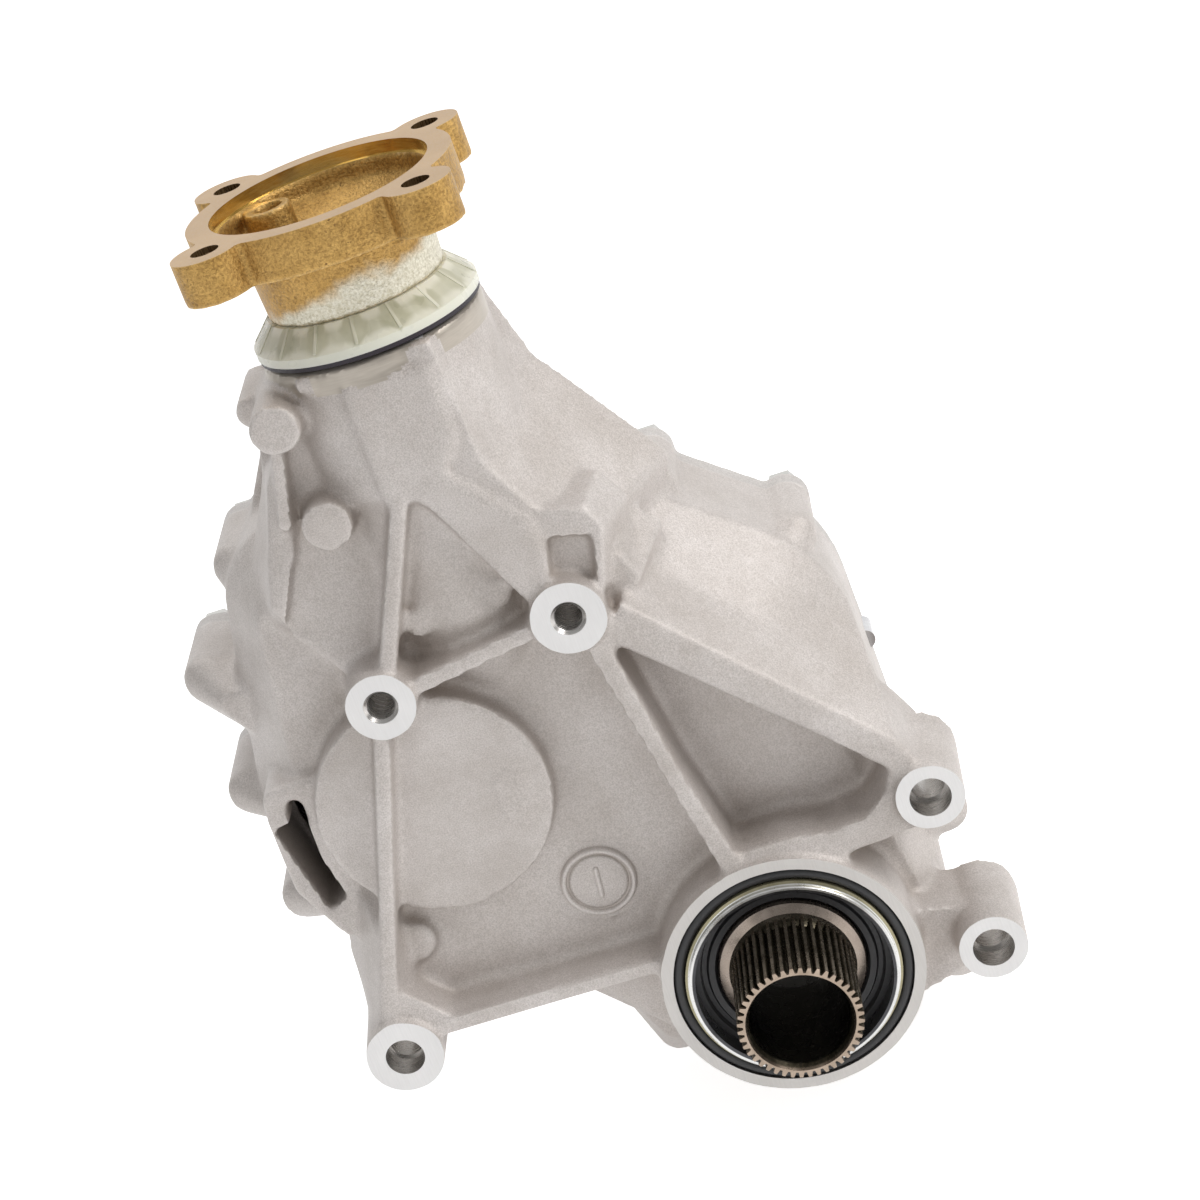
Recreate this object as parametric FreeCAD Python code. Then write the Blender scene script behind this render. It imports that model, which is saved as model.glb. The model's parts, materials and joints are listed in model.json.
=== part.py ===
"""Transfer case (power transfer unit) of a transverse four-wheel-drive gearbox.

Frame, in millimetres: the origin is the centre of the input bore on the mounting face,
-Y leaves the mounting face towards the gearbox, +Z runs along the pinion towards the
output flange, and +X completes the right-handed frame.
"""
import FreeCAD, Part
import math
import os

# ---------------------------------------------------------------- driving dimensions
# Spur train: input gear, idler and transfer gear, all alike
gear_module = 4.0
gear_teeth = 25
gear_pressure_angle = 20.0
gear_addendum = 0.8 * gear_module
gear_dedendum = 1.1 * gear_module
gear_backlash = 0.5
gear_y = 94.0
gear_face = 19.0
transfer_x = -105.0
transfer_z = 105.0

# Hypoid pair
hypoid_offset = 37.0
hypoid_ratio = 2.5
pinion_teeth = 12
ring_outer_r = 62.0
ring_face_width = 14.0
ring_body = 6.0
ring_bolt_count = 8
ring_bolt_head = 5.0
pinion_y = 45.0
hypoid_tooth_share = 0.34
hypoid_addendum_slope = 0.04
hypoid_root_slope = 0.125

# Mounting face and casting
rib_face_y = 2.5
left_floor_y = 22.0
right_floor_y = 29.0
crown_floor_y = 20.0
crown_bump_y = 10.5
floor_thickness = 6.0
body_front_y = 28.0
body_full_y = 56.0
split_y = 100.0
wall = 6.0
input_wall = 8.8
idler_wall = 6.0
idler_housing_shift = 5.0
gear_room = 2.0
rib_width = 6.5

# Input bore, from the outside in
bore_rim_r = 49.5
retainer_r = 45.0
oring_seat_r = 40.6
retainer_lip_r = 39.4
input_seal_r = 37.0
input_journal_r = 28.0
shaft_bore_r = 18.6
spline_tip_r = 23.2
spline_root_r = 21.0
spline_teeth = 44
spline_end_y = -33.3
spline_length = 38.0

# Bearings: seat radius, cup radius, width
input_bearing = (30.0, 42.0, 17.0)
idler_bearing = (15.0, 31.0, 16.0)
transfer_bearing = (17.5, 36.0, 17.0)
head_bearing = (17.5, 31.0, 19.0)
tail_bearing = (15.0, 31.0, 16.0)
roller_gap = 0.06
fit_gap = 0.02

# Disc boss over the transfer bearing
disc_r = 44.0
disc_y = 12.0

# Neck, from its turned top down
neck_r = 41.0
neck_foot_r = 36.0
neck_top_z = 277.0
neck_turned_height = 8.3
neck_foot_drop = 58.0

# Dust ring and output flange, each standing on the one before
deflector_height = 1.6
deflector_gap = 0.9
dust_ring_r = 41.6
dust_ring_rim = 3.2
dust_ring_rise = 11.4
dust_ring_vanes = 16
flange_rise = 38.8
flange_thickness = 16.0
flange_body_r = 49.0
flange_collar_r = 32.5
pilot_r = 40.35
pilot_depth = 5.0
bolt_circle_r = 53.3
flange_hole_r = 5.1
ear_r = 12.5
hub_r = 22.0
hub_spline_r = 14.0
puller_boss_r = 8.8
puller_hole_r = 5.2
nut_across = 30.0
nut_height = 12.0
nut_thread_r = 10.0
seal_width = 9.0

# Mounting holes on the face: x, z, boss radius, hole radius
threaded_bosses = {"a": (-107.1, 153.9, 12.8, 5.1), "b": (-32.5, 165.2, 13.6, 5.1)}
bored_bosses = {
    "c": (68.8, 55.4, 12.8, 7.7),
    "d": (73.7, -12.6, 13.0, 7.8),
    "e": (-148.9, 13.9, 14.8, 7.4)}
threaded_depth = 26.0
threaded_mouth = 1.2
dowel_depth = 12.0
through_hole_r = 6.6
arm_depth = 42.0

# Cover and its bolts
cover_flange = 10.0
cover_end_y = 134.0
cover_boss_end_y = 140.0
cover_wall = 6.0
bolt_r = 4.0
lug_r = 9.3
lug_front_y = 66.0
lug_draft = 16.0
lug_length = 22.0
head_across = 13.0
head_height = 6.0
washer_height = 1.2
dowel_r = 4.0
# Each bolt: the housing circle it stands by, its direction in degrees, and how far beyond the circle
cover_bolt_rays = [
    ("idler", 37.0, -1.0), ("idler", 86.0, 10.0), ("neck", 62.0, 1.0), ("shoulder", 64.0, 12.0),
    ("shoulder", 147.0, -3.0), ("transfer", 145.0, 21.0), ("transfer", 178.0, 6.0), ("transfer", 213.0, 17.0),
    ("transfer", 258.0, 25.0), ("input", 220.0, 11.0), ("input", 276.0, 7.0), ("input", 318.0, 14.0),
    ("input", 10.0, 7.0)]
cover_dowels_at = [(60.5, 80.0), (-112.0, 28.0)]

# Plugs, breather and half-shaft seal
plug_r = 8.0
plug_boss_r = 13.0
plug_head_r = 11.0
plug_socket_across = 8.0
plug_depth = 14.0
fill_plug_at = (-50.0, 80.0)
drain_plug_at = (-66.0, 28.0)
breather_r = 4.0
breather_drop = 81.0
halfshaft_r = 15.5
halfshaft_seal_width = 7.5

# ---------------------------------------------------------------- derived dimensions
centre_distance = gear_module * gear_teeth
gear_pitch_r = centre_distance / 2.0
gear_tip_r = gear_pitch_r + gear_addendum
gear_room_r = gear_tip_r + gear_room
input_housing_r = gear_room_r + input_wall
idler_housing_r = gear_room_r + idler_wall
ring_inner_r = ring_outer_r - ring_face_width
ring_housing_r = ring_outer_r + gear_room + wall
INPUT = (0.0, 0.0)
TRANSFER = (transfer_x, transfer_z)
train_span = math.hypot(transfer_x, transfer_z)
idler_bulge = math.sqrt(centre_distance ** 2 - (train_span / 2) ** 2) / train_span
IDLER = (transfer_x / 2 + transfer_z * idler_bulge, transfer_z / 2 - transfer_x * idler_bulge)
IDLER_HOUSING = (IDLER[0] + idler_housing_shift, IDLER[1] + idler_housing_shift)
pinion_x = TRANSFER[0] + hypoid_offset
cone_outer = math.sqrt(ring_outer_r ** 2 - hypoid_offset ** 2)
cone_inner = math.sqrt(ring_inner_r ** 2 - hypoid_offset ** 2)
pinion_slope = 1.0 / hypoid_ratio
ring_teeth = round(pinion_teeth * hypoid_ratio)
ring_back_y = pinion_y + cone_outer * (pinion_slope + hypoid_root_slope) + ring_body
slab_top_z = neck_top_z - neck_turned_height
neck_foot_z = neck_top_z - neck_foot_drop
dust_ring_z = neck_top_z + deflector_gap + deflector_height + 0.1
flange_collar_z = dust_ring_z + dust_ring_rise
flange_top_z = flange_collar_z + flange_rise
nut_seat_z = flange_collar_z + 11.0
head_z = TRANSFER[1] + cone_outer
housing_middle = (-55.0, 75.0)
HOUSING = {
    "input": (INPUT[0], INPUT[1], input_housing_r),
    "idler": (IDLER_HOUSING[0], IDLER_HOUSING[1], idler_housing_r),
    "neck": (pinion_x, head_z + 30, neck_r),
    "shoulder": (pinion_x - 57, head_z + 25, 35.0),
    "transfer": (TRANSFER[0], TRANSFER[1], ring_housing_r)}
cover_joint_y = split_y + cover_flange
plug_seat_y = cover_end_y + 3.0
breather_at = (pinion_x - 4.0, neck_top_z - breather_drop)
UP = FreeCAD.Vector(0, 0, 1)
BACK = FreeCAD.Vector(0, 1, 0)


# ---------------------------------------------------------------- plain shapes
def at(x, y, z):
    return FreeCAD.Vector(x, y, z)


def cyl_y(centre, radius, y0, y1):
    """Cylinder along Y about a centre given as x, z."""
    return Part.makeCylinder(radius, y1 - y0, at(centre[0], y0, centre[1]), BACK)


def cone_y(centre, r0, r1, y0, y1):
    return Part.makeCone(r0, r1, y1 - y0, at(centre[0], y0, centre[1]), BACK)


def cyl_z(x, y, radius, z0, z1):
    return Part.makeCylinder(radius, z1 - z0, at(x, y, z0), UP)


def cone_z(x, y, r0, r1, z0, z1):
    return Part.makeCone(r0, r1, z1 - z0, at(x, y, z0), UP)


def tube_y(centre, outer, inner, y0, y1):
    return cyl_y(centre, outer, y0, y1).cut(cyl_y(centre, inner, y0 - 1, y1 + 1))


def tube_z(x, y, outer, inner, z0, z1):
    return cyl_z(x, y, outer, z0, z1).cut(cyl_z(x, y, inner, z0 - 1, z1 + 1))


def join(shapes):
    """One solid from many that overlap."""
    return shapes[0].multiFuse(shapes[1:]).removeSplitter()


def prism(points, y0, y1):
    """Polygon of x, z points, extruded along Y."""
    corners = [at(x, y0, z) for x, z in points]
    face = Part.Face(Part.makePolygon(corners + corners[:1]))
    return face.extrude(at(0, y1 - y0, 0))


def rib(start, end, width, y0, y1):
    """Straight rib between two x, z points with round ends."""
    return belt([(start[0], start[1], width / 2), (end[0], end[1], width / 2)], y0, y1)


def belt_wire(circles, y):
    """Outline of a belt round circles given as x, z, radius, anticlockwise seen from the front."""
    count = len(circles)
    normals = []
    for i in range(count):
        x0, z0, r0 = circles[i]
        x1, z1, r1 = circles[(i + 1) % count]
        span = math.hypot(x1 - x0, z1 - z0)
        dx, dz = (x1 - x0) / span, (z1 - z0) / span
        along = (r0 - r1) / span
        across = math.sqrt(1 - along ** 2)
        normals.append((dx * along + dz * across, dz * along - dx * across))
    edges = []
    for i in range(count):
        x, z, r = circles[i]
        n0, n1 = normals[i - 1], normals[i]
        a0 = math.atan2(n0[1], n0[0])
        a1 = math.atan2(n1[1], n1[0])
        turn = (a1 - a0) % (2 * math.pi)
        mid = a0 + turn / 2
        p0 = at(x + r * n0[0], y, z + r * n0[1])
        pm = at(x + r * math.cos(mid), y, z + r * math.sin(mid))
        p1 = at(x + r * n1[0], y, z + r * n1[1])
        edges.append(Part.Arc(p0, pm, p1).toShape())
        x2, z2, r2 = circles[(i + 1) % count]
        p2 = at(x2 + r2 * n1[0], y, z2 + r2 * n1[1])
        edges.append(Part.LineSegment(p1, p2).toShape())
    return Part.Wire(edges)


def belt(circles, y0, y1):
    return Part.Face(belt_wire(circles, y0)).extrude(at(0, y1 - y0, 0))


def tapered_belt(front, rear, y0, y1):
    return Part.makeLoft([belt_wire(front, y0), belt_wire(rear, y1)], True, True)


def revolve_y(profile, centre):
    """Ring or bush about a Y axis from r, y points."""
    corners = [at(centre[0] + r, y, centre[1]) for r, y in profile]
    face = Part.Face(Part.makePolygon(corners + corners[:1]))
    return face.revolve(at(centre[0], 0, centre[1]), BACK, 360)


def revolve_z(profile, x, y):
    """Ring or bush about a Z axis from r, z points."""
    corners = [at(x + r, y, z) for r, z in profile]
    face = Part.Face(Part.makePolygon(corners + corners[:1]))
    return face.revolve(at(x, y, 0), UP, 360)


def turned(shape, centre, degrees):
    """Copy of a shape turned about a Y axis."""
    copy = shape.copy()
    copy.rotate(at(centre[0], 0, centre[1]), BACK, degrees)
    return copy


def hexagon(across_flats):
    corner = across_flats / math.sqrt(3)
    angles = [math.radians(a) for a in range(0, 360, 60)]
    return [(corner * math.cos(a), corner * math.sin(a)) for a in angles]


def save(name, shape):
    shape.exportStep("parts/" + name + ".step")


def ray_place(circle, degrees, beyond):
    """Point beyond one of the housing's circles, in a direction given in degrees."""
    x, z, r = HOUSING[circle]
    angle = math.radians(degrees)
    return x + (r + beyond) * math.cos(angle), z + (r + beyond) * math.sin(angle)


cover_bolts_at = [ray_place(*ray) for ray in cover_bolt_rays]


# ---------------------------------------------------------------- gears
def involute_angle(r, base_r):
    roll = math.sqrt(max((r / base_r) ** 2 - 1, 0))
    return roll - math.atan(roll)


def gear_half_angles(pitch_r, teeth, pressure_angle, backlash, radii):
    """Half the tooth angle at each radius of an involute tooth."""
    base_r = pitch_r * math.cos(math.radians(pressure_angle))
    half_pitch = math.pi / (2 * teeth) - backlash / (2 * pitch_r)
    at_pitch = involute_angle(pitch_r, base_r)
    return [half_pitch + at_pitch - involute_angle(max(r, base_r), base_r) for r in radii]


def toothed_disc(centre, y0, y1, first_tooth):
    """Spur gear blank with involute teeth, one of them at first_tooth degrees."""
    root_r = gear_pitch_r - gear_dedendum
    radii = [root_r, gear_pitch_r, gear_tip_r]
    halves = gear_half_angles(gear_pitch_r, gear_teeth, gear_pressure_angle, gear_backlash, radii)
    corners = []
    for tooth in range(gear_teeth):
        middle = math.radians(first_tooth) + 2 * math.pi * tooth / gear_teeth
        flank = [(r, middle - half) for r, half in zip(radii, halves)]
        flank += [(r, middle + half) for r, half in zip(reversed(radii), reversed(halves))]
        corners += [(centre[0] + r * math.cos(a), centre[1] + r * math.sin(a)) for r, a in flank]
    return prism(corners, y0, y1)


def train_gear(centre, first_tooth, seat_r):
    """Spur gear with a hub, its web dished on both sides."""
    back = gear_y + gear_face
    blank = toothed_disc(centre, gear_y, back, first_tooth)
    rim_r = gear_pitch_r - gear_dedendum - 5
    hub_r = seat_r + 9
    dish = 3.5
    front_dish = tube_y(centre, rim_r, hub_r, gear_y - 1, gear_y + dish)
    rear_dish = tube_y(centre, rim_r, hub_r, back - dish, back + 1)
    bore = cyl_y(centre, seat_r + fit_gap, gear_y - 1, back + 1)
    return blank.cut(front_dish).cut(rear_dish).cut(bore)


def meshing_tooth(driver, driven, driver_tooth):
    """Angle of a tooth of the driven gear that meshes with a driver whose tooth angle is known."""
    towards = math.degrees(math.atan2(driven[1] - driver[1], driven[0] - driver[0]))
    pitch = 360.0 / gear_teeth
    lag = (towards - driver_tooth) % pitch
    return towards + 180.0 + lag + pitch / 2


def pinion_outline(scale):
    """Toothed outline of the pinion at a distance from the ring gear's middle plane."""
    pitch_r = scale * pinion_slope
    tip_r = pitch_r + scale * hypoid_addendum_slope
    root_r = pitch_r - scale * (hypoid_root_slope - 0.02)
    step = 2 * math.pi / pinion_teeth
    half_root = 0.27 * step
    half_tip = 0.11 * step
    corners = []
    for tooth in range(pinion_teeth):
        middle = math.pi / 2 + step * tooth
        for r, a in ((root_r, -half_root), (tip_r, -half_tip), (tip_r, half_tip), (root_r, half_root)):
            corners.append(at(pinion_x + r * math.cos(middle + a), pinion_y + r * math.sin(middle + a),
                              TRANSFER[1] + scale))
    return Part.makePolygon(corners + corners[:1])


def ring_tooth():
    """One straight ring-gear tooth, tangent to the offset circle and tapering to its foot."""
    half_pitch = math.pi / ring_teeth
    sections = []
    for scale in (cone_inner - 6, cone_outer + 4):
        pitch_y = pinion_y + scale * pinion_slope
        tip_y = pitch_y - scale * hypoid_addendum_slope
        foot_y = pitch_y + scale * (hypoid_root_slope + 0.05)
        half_tip = scale * half_pitch * (hypoid_tooth_share - 0.14)
        half_foot = scale * half_pitch * (hypoid_tooth_share + 0.24)
        z = TRANSFER[1] + scale
        corners = [at(pinion_x - half_tip, tip_y, z), at(pinion_x + half_tip, tip_y, z),
                   at(pinion_x + half_foot, foot_y, z), at(pinion_x - half_foot, foot_y, z)]
        sections.append(Part.makePolygon(corners + corners[:1]))
    tooth = Part.makeLoft(sections, True, True)
    band = tube_y(TRANSFER, ring_outer_r, ring_inner_r, pinion_y, ring_back_y)
    return tooth.common(band)


def ring_face_y(r):
    """Height of the ring gear's root surface at a radius."""
    reach = math.sqrt(r ** 2 - hypoid_offset ** 2)
    return pinion_y + reach * (pinion_slope + hypoid_root_slope)


def make_ring_gear():
    blank = revolve_y([(ring_inner_r, ring_face_y(ring_inner_r)), (ring_outer_r, ring_face_y(ring_outer_r)),
                       (ring_outer_r, ring_back_y), (ring_inner_r, ring_back_y)], TRANSFER)
    tooth = turned(ring_tooth(), TRANSFER, 180.0 / ring_teeth)
    ring = join([blank] + [turned(tooth, TRANSFER, 360.0 * i / ring_teeth) for i in range(ring_teeth)])
    for place in ring_bolt_places():
        ring = ring.cut(cyl_y(place, bolt_r, ring_back_y - 8, ring_back_y + 1))
    return ring


def ring_bolt_places():
    r = (ring_outer_r + ring_inner_r) / 2
    angles = [2 * math.pi * i / ring_bolt_count for i in range(ring_bolt_count)]
    return [(TRANSFER[0] + r * math.cos(a), TRANSFER[1] + r * math.sin(a)) for a in angles]


# ---------------------------------------------------------------- bearings
def bearing_cup(cup_r, y0, width, opens_front):
    """Tapered cup as r, y points; the wide end of its raceway faces the front or the back."""
    wall_thin = 3.0
    wall_thick = 6.5
    front = wall_thin if opens_front else wall_thick
    back = wall_thick if opens_front else wall_thin
    outer = cup_r - fit_gap
    return [(outer, y0), (outer, y0 + width), (cup_r - back, y0 + width), (cup_r - front, y0)]


def bearing_cone(seat_r, cup_r, y0, width, opens_front):
    """Inner race, cage and rollers as one ring of r, y points inside the cup's raceway."""
    cup = bearing_cup(cup_r, y0, width, opens_front)
    rear_r = cup[2][0] - roller_gap
    front_r = cup[3][0] - roller_gap
    inner = seat_r + fit_gap
    edge = 1.5
    slope = (rear_r - front_r) / width
    return [(inner, y0), (inner, y0 + width), (rear_r - edge - 2, y0 + width),
            (rear_r - slope * edge, y0 + width - edge), (front_r + slope * edge, y0 + edge),
            (front_r - edge - 2, y0)]


def save_bearing_y(name, centre, sizes, y0, opens_front):
    seat_r, cup_r, width = sizes
    save(name + "_cup", revolve_y(bearing_cup(cup_r, y0, width, opens_front), centre))
    save(name + "_cone", revolve_y(bearing_cone(seat_r, cup_r, y0, width, opens_front), centre))


def save_bearing_z(name, sizes, z0, opens_down):
    seat_r, cup_r, width = sizes
    cup = bearing_cup(cup_r, z0, width, opens_down)
    cone = bearing_cone(seat_r, cup_r, z0, width, opens_down)
    save(name + "_cup", revolve_z(cup, pinion_x, pinion_y))
    save(name + "_cone", revolve_z(cone, pinion_x, pinion_y))


os.makedirs("parts", exist_ok=True)

# ---------------------------------------------------------------- places along the shafts
input_bearing_y = 26.0
idler_bearing_y = 40.0
transfer_bearing_y = disc_y + 5.0
rear_bearing_y = gear_y + gear_face + 4.0
carrier_end_y = ring_back_y + 7.0
ring_top_z = TRANSFER[1] + ring_outer_r
head_bearing_z = ring_top_z + 5.0
spacer_z = head_bearing_z + head_bearing[2]
seal_z = neck_top_z - 13.0
tail_bearing_z = seal_z - 10.0 - tail_bearing[2]
hub_z = tail_bearing_z + tail_bearing[2]
gear_end = gear_y + gear_face + 2.0
idler_drilling_r = 6.0
transfer_drilling_r = 7.0
input_seal_y = 6.0
halfshaft_seal_y = rear_bearing_y + input_bearing[2] + 1.5


# ---------------------------------------------------------------- rotating pieces
def make_input_shaft():
    seat_r = input_bearing[0]
    shoulder_r = seat_r + 4
    bearing_end = input_bearing_y + input_bearing[2]
    spline_stop = spline_end_y + spline_length
    rear_end = rear_bearing_y + input_bearing[2]
    body = revolve_y([
        (shaft_bore_r, spline_stop - 4), (spline_root_r, spline_stop - 4),
        (spline_root_r + 3, spline_stop), (input_journal_r - 0.6, spline_stop + 1.5),
        (input_journal_r, spline_stop + 2.5),
        (input_journal_r, input_bearing_y), (seat_r, input_bearing_y), (seat_r, bearing_end),
        (shoulder_r, bearing_end), (shoulder_r, gear_y), (seat_r + 1, gear_y), (seat_r + 1, gear_end),
        (seat_r, gear_end), (seat_r, rear_end), (shaft_bore_r, rear_end)], INPUT)
    corners = []
    step = 2 * math.pi / spline_teeth
    tooth_outline = (
        (spline_root_r, -0.36), (spline_tip_r, -0.17), (spline_tip_r, 0.17), (spline_root_r, 0.36))
    for tooth in range(spline_teeth):
        for r, share in tooth_outline:
            angle = (tooth + share) * step
            corners.append((r * math.cos(angle), r * math.sin(angle)))
    spline = prism(corners, spline_end_y, spline_stop)
    chamfer = 1.6
    lead_in = revolve_y([(spline_tip_r - 1.2, spline_end_y - 1), (spline_tip_r + 2, spline_end_y - 1),
                         (spline_tip_r + 2, spline_end_y + 2.2)], INPUT)
    shaft = join([body, spline]).cut(lead_in)
    shaft = shaft.cut(cyl_y(INPUT, shaft_bore_r, spline_end_y - 1, spline_stop + 1))
    mouth = cone_y(INPUT, shaft_bore_r + chamfer, shaft_bore_r, spline_end_y, spline_end_y + 2 * chamfer)
    return shaft.cut(mouth)


def make_idler_shaft():
    seat_r = idler_bearing[0]
    bearing_end = idler_bearing_y + idler_bearing[2]
    rear_end = rear_bearing_y + idler_bearing[2]
    start = idler_bearing_y - 2
    return revolve_y([
        (idler_drilling_r, start), (seat_r, start), (seat_r, bearing_end), (seat_r + 4, bearing_end),
        (seat_r + 4, gear_y), (seat_r + 2, gear_y), (seat_r + 2, gear_end),
        (seat_r, gear_end), (seat_r, rear_end), (idler_drilling_r, rear_end)], IDLER)


def make_transfer_shaft():
    seat_r = transfer_bearing[0]
    bearing_end = transfer_bearing_y + transfer_bearing[2]
    rear_end = rear_bearing_y + transfer_bearing[2]
    carrier_r = ring_outer_r - 1.5
    spigot_r = ring_inner_r - 0.3
    shaft = revolve_y([
        (transfer_drilling_r, transfer_bearing_y), (seat_r, transfer_bearing_y), (seat_r, bearing_end),
        (seat_r + 4, bearing_end), (seat_r + 4, ring_back_y - 14), (spigot_r - 12, ring_back_y - 4),
        (spigot_r, ring_back_y - 4), (spigot_r, ring_back_y), (carrier_r, ring_back_y),
        (carrier_r, carrier_end_y), (seat_r + 8, carrier_end_y), (seat_r + 6, gear_y),
        (seat_r + 2.5, gear_y), (seat_r + 2.5, gear_end), (seat_r, gear_end), (seat_r, rear_end),
        (transfer_drilling_r, rear_end)], TRANSFER)
    for place in ring_bolt_places():
        shaft = shaft.cut(cyl_y(place, bolt_r + 0.3, ring_back_y - 1, carrier_end_y + 1))
    return shaft


def make_ring_bolts():
    bolts = []
    head_end = carrier_end_y + ring_bolt_head
    for x, z in ring_bolt_places():
        head = prism([(x + a, z + b) for a, b in hexagon(head_across - 1)], carrier_end_y, head_end)
        bolts.append(join([head, cyl_y((x, z), bolt_r - fit_gap, ring_back_y - 7, carrier_end_y)]))
    return Part.makeCompound(bolts)


def make_pinion_shaft():
    small = pinion_outline(cone_inner)
    large = pinion_outline(cone_outer)
    head = Part.makeLoft([small, large], True, True)
    core_r = cone_outer * (pinion_slope - hypoid_root_slope + 0.02)
    seat_r = head_bearing[0]
    tail_r = tail_bearing[0]
    thread_end = nut_seat_z + nut_height + 3
    shaft = revolve_z([
        (0, head_z - 1), (core_r, head_z - 1), (core_r + 1, head_z + 1), (core_r + 1, ring_top_z + 0.8),
        (seat_r + 4.5, ring_top_z + 1.5), (seat_r + 4.5, head_bearing_z), (seat_r, head_bearing_z),
        (seat_r, spacer_z + 10), (tail_r, spacer_z + 14), (tail_r, hub_z), (hub_spline_r, hub_z),
        (hub_spline_r, nut_seat_z - 2), (nut_thread_r, nut_seat_z - 2), (nut_thread_r, thread_end),
        (0, thread_end)], pinion_x, pinion_y)
    return join([head, shaft])


def make_collapsible_spacer():
    inner = head_bearing[0] + 0.4
    low, high = spacer_z, tail_bearing_z
    mid = (low + high) / 2
    thick = 2.6
    return revolve_z([
        (inner, low), (inner + thick, low), (inner + thick, mid - 10), (inner + thick + 2.5, mid),
        (inner + thick, mid + 10), (inner + thick, high), (inner, high), (inner, mid + 10),
        (inner + 2.5, mid), (inner, mid - 10)], pinion_x, pinion_y)


def ear_places():
    reach = bolt_circle_r / math.sqrt(2)
    return [(pinion_x + reach * a, pinion_y + reach * b) for a, b in ((1, 1), (-1, 1), (-1, -1), (1, -1))]


def make_output_flange():
    flange_low = flange_top_z - flange_thickness
    bowl_z = flange_top_z - pilot_depth
    bowl_r = pilot_r - 1.6
    pieces = [cyl_z(pinion_x, pinion_y, flange_body_r, flange_low, flange_top_z)]
    for x, y in ear_places():
        pieces.append(cyl_z(x, y, ear_r, flange_low, flange_top_z))
        web = Part.makeBox(2 * ear_r - 3, flange_body_r - 6, flange_thickness,
                           at(-ear_r + 1.5, 0, flange_low))
        web.rotate(at(0, 0, 0), UP, math.degrees(math.atan2(y - pinion_y, x - pinion_x)) - 90)
        web.translate(at(pinion_x, pinion_y, 0))
        pieces.append(web)
    pieces.append(cone_z(pinion_x, pinion_y, flange_collar_r, flange_collar_r + 1.2, flange_collar_z,
                         flange_low + 1))
    pieces.append(cyl_z(pinion_x, pinion_y, hub_r, hub_z, flange_collar_z + 1))
    flange = join(pieces)
    for x, y in ear_places():
        flange = flange.cut(cyl_z(x, y, flange_hole_r, flange_low - 1, flange_top_z + 1))
    hollow = revolve_z([
        (0, nut_seat_z), (25.5, nut_seat_z), (27.0, flange_low - 3), (bowl_r, flange_low + 4.5),
        (bowl_r, bowl_z), (pilot_r, bowl_z), (pilot_r, flange_top_z + 1), (0, flange_top_z + 1)],
        pinion_x, pinion_y)
    flange = flange.cut(hollow)
    for side in (-1, 1):
        x, y = pinion_x + side * 23.0, pinion_y - side * 18.0
        puller_boss = cyl_z(x, y, puller_boss_r, flange_low - 5, bowl_z - 0.8)
        inside = cyl_z(pinion_x, pinion_y, bowl_r + 1, flange_low - 6, bowl_z)
        flange = flange.fuse(puller_boss.common(inside))
        flange = flange.cut(cyl_z(x, y, puller_hole_r, flange_low + 3, bowl_z + 1))
    bore = cyl_z(pinion_x, pinion_y, hub_spline_r + fit_gap, hub_z - 1, nut_seat_z + 1)
    return flange.cut(bore).removeSplitter()


def make_dust_ring():
    """Shallow plastic cone with radial vanes, its rim over the neck and its sleeve on the hub."""
    top = flange_collar_z - 0.05
    rim_top = dust_ring_z + dust_ring_rim
    sleeve_r = hub_r + fit_gap
    shell = revolve_z([
        (sleeve_r, top - 6), (sleeve_r, top), (flange_collar_r + 1, top), (dust_ring_r, rim_top),
        (dust_ring_r, dust_ring_z), (dust_ring_r - 2.2, dust_ring_z), (dust_ring_r - 2.2, rim_top - 1.2),
        (dust_ring_r - 11, top - 3.5)], pinion_x, pinion_y)
    lip_r = flange_collar_r + 0.9
    vanes = []
    for i in range(dust_ring_vanes):
        outline = [at(lip_r, -0.6, top - 1.5), at(dust_ring_r - 0.6, -0.6, rim_top - 1),
                   at(dust_ring_r - 0.6, -0.6, rim_top + 0.9), at(lip_r, -0.6, top + 0.4)]
        vane = Part.Face(Part.makePolygon(outline + outline[:1])).extrude(at(0, 1.2, 0))
        vane.rotate(at(0, 0, 0), UP, 360 * i / dust_ring_vanes)
        vane.translate(at(pinion_x, pinion_y, 0))
        vanes.append(vane)
    return join([shell] + vanes)


def make_pinion_nut():
    corners = [at(x + pinion_x, y + pinion_y, nut_seat_z) for x, y in hexagon(nut_across)]
    nut = Part.Face(Part.makePolygon(corners + corners[:1])).extrude(at(0, 0, nut_height))
    bore_r = nut_thread_r + fit_gap
    return nut.cut(cyl_z(pinion_x, pinion_y, bore_r, nut_seat_z - 1, nut_seat_z + nut_height + 1))


def make_deflector_ring():
    low = neck_top_z + deflector_gap
    return tube_z(pinion_x, pinion_y, dust_ring_r - 0.4, hub_r + fit_gap, low, low + deflector_height)


save("input_shaft", make_input_shaft())
input_tooth = 90.0
idler_tooth = meshing_tooth(INPUT, IDLER, input_tooth)
transfer_tooth = meshing_tooth(IDLER, TRANSFER, idler_tooth)
save("input_gear", train_gear(INPUT, input_tooth, input_bearing[0] + 1))
save("idler_shaft", make_idler_shaft())
save("idler_gear", train_gear(IDLER, idler_tooth, idler_bearing[0] + 2))
save("transfer_shaft", make_transfer_shaft())
save("transfer_gear", train_gear(TRANSFER, transfer_tooth, transfer_bearing[0] + 2.5))
save("ring_gear", make_ring_gear())
save("ring_gear_bolts", make_ring_bolts())
save("pinion_shaft", make_pinion_shaft())
save("collapsible_spacer", make_collapsible_spacer())
save("output_flange", make_output_flange())
save("dust_ring", make_dust_ring())
save("deflector_ring", make_deflector_ring())
save("pinion_nut", make_pinion_nut())
save_bearing_y("input_front_bearing", INPUT, input_bearing, input_bearing_y, True)
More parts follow.
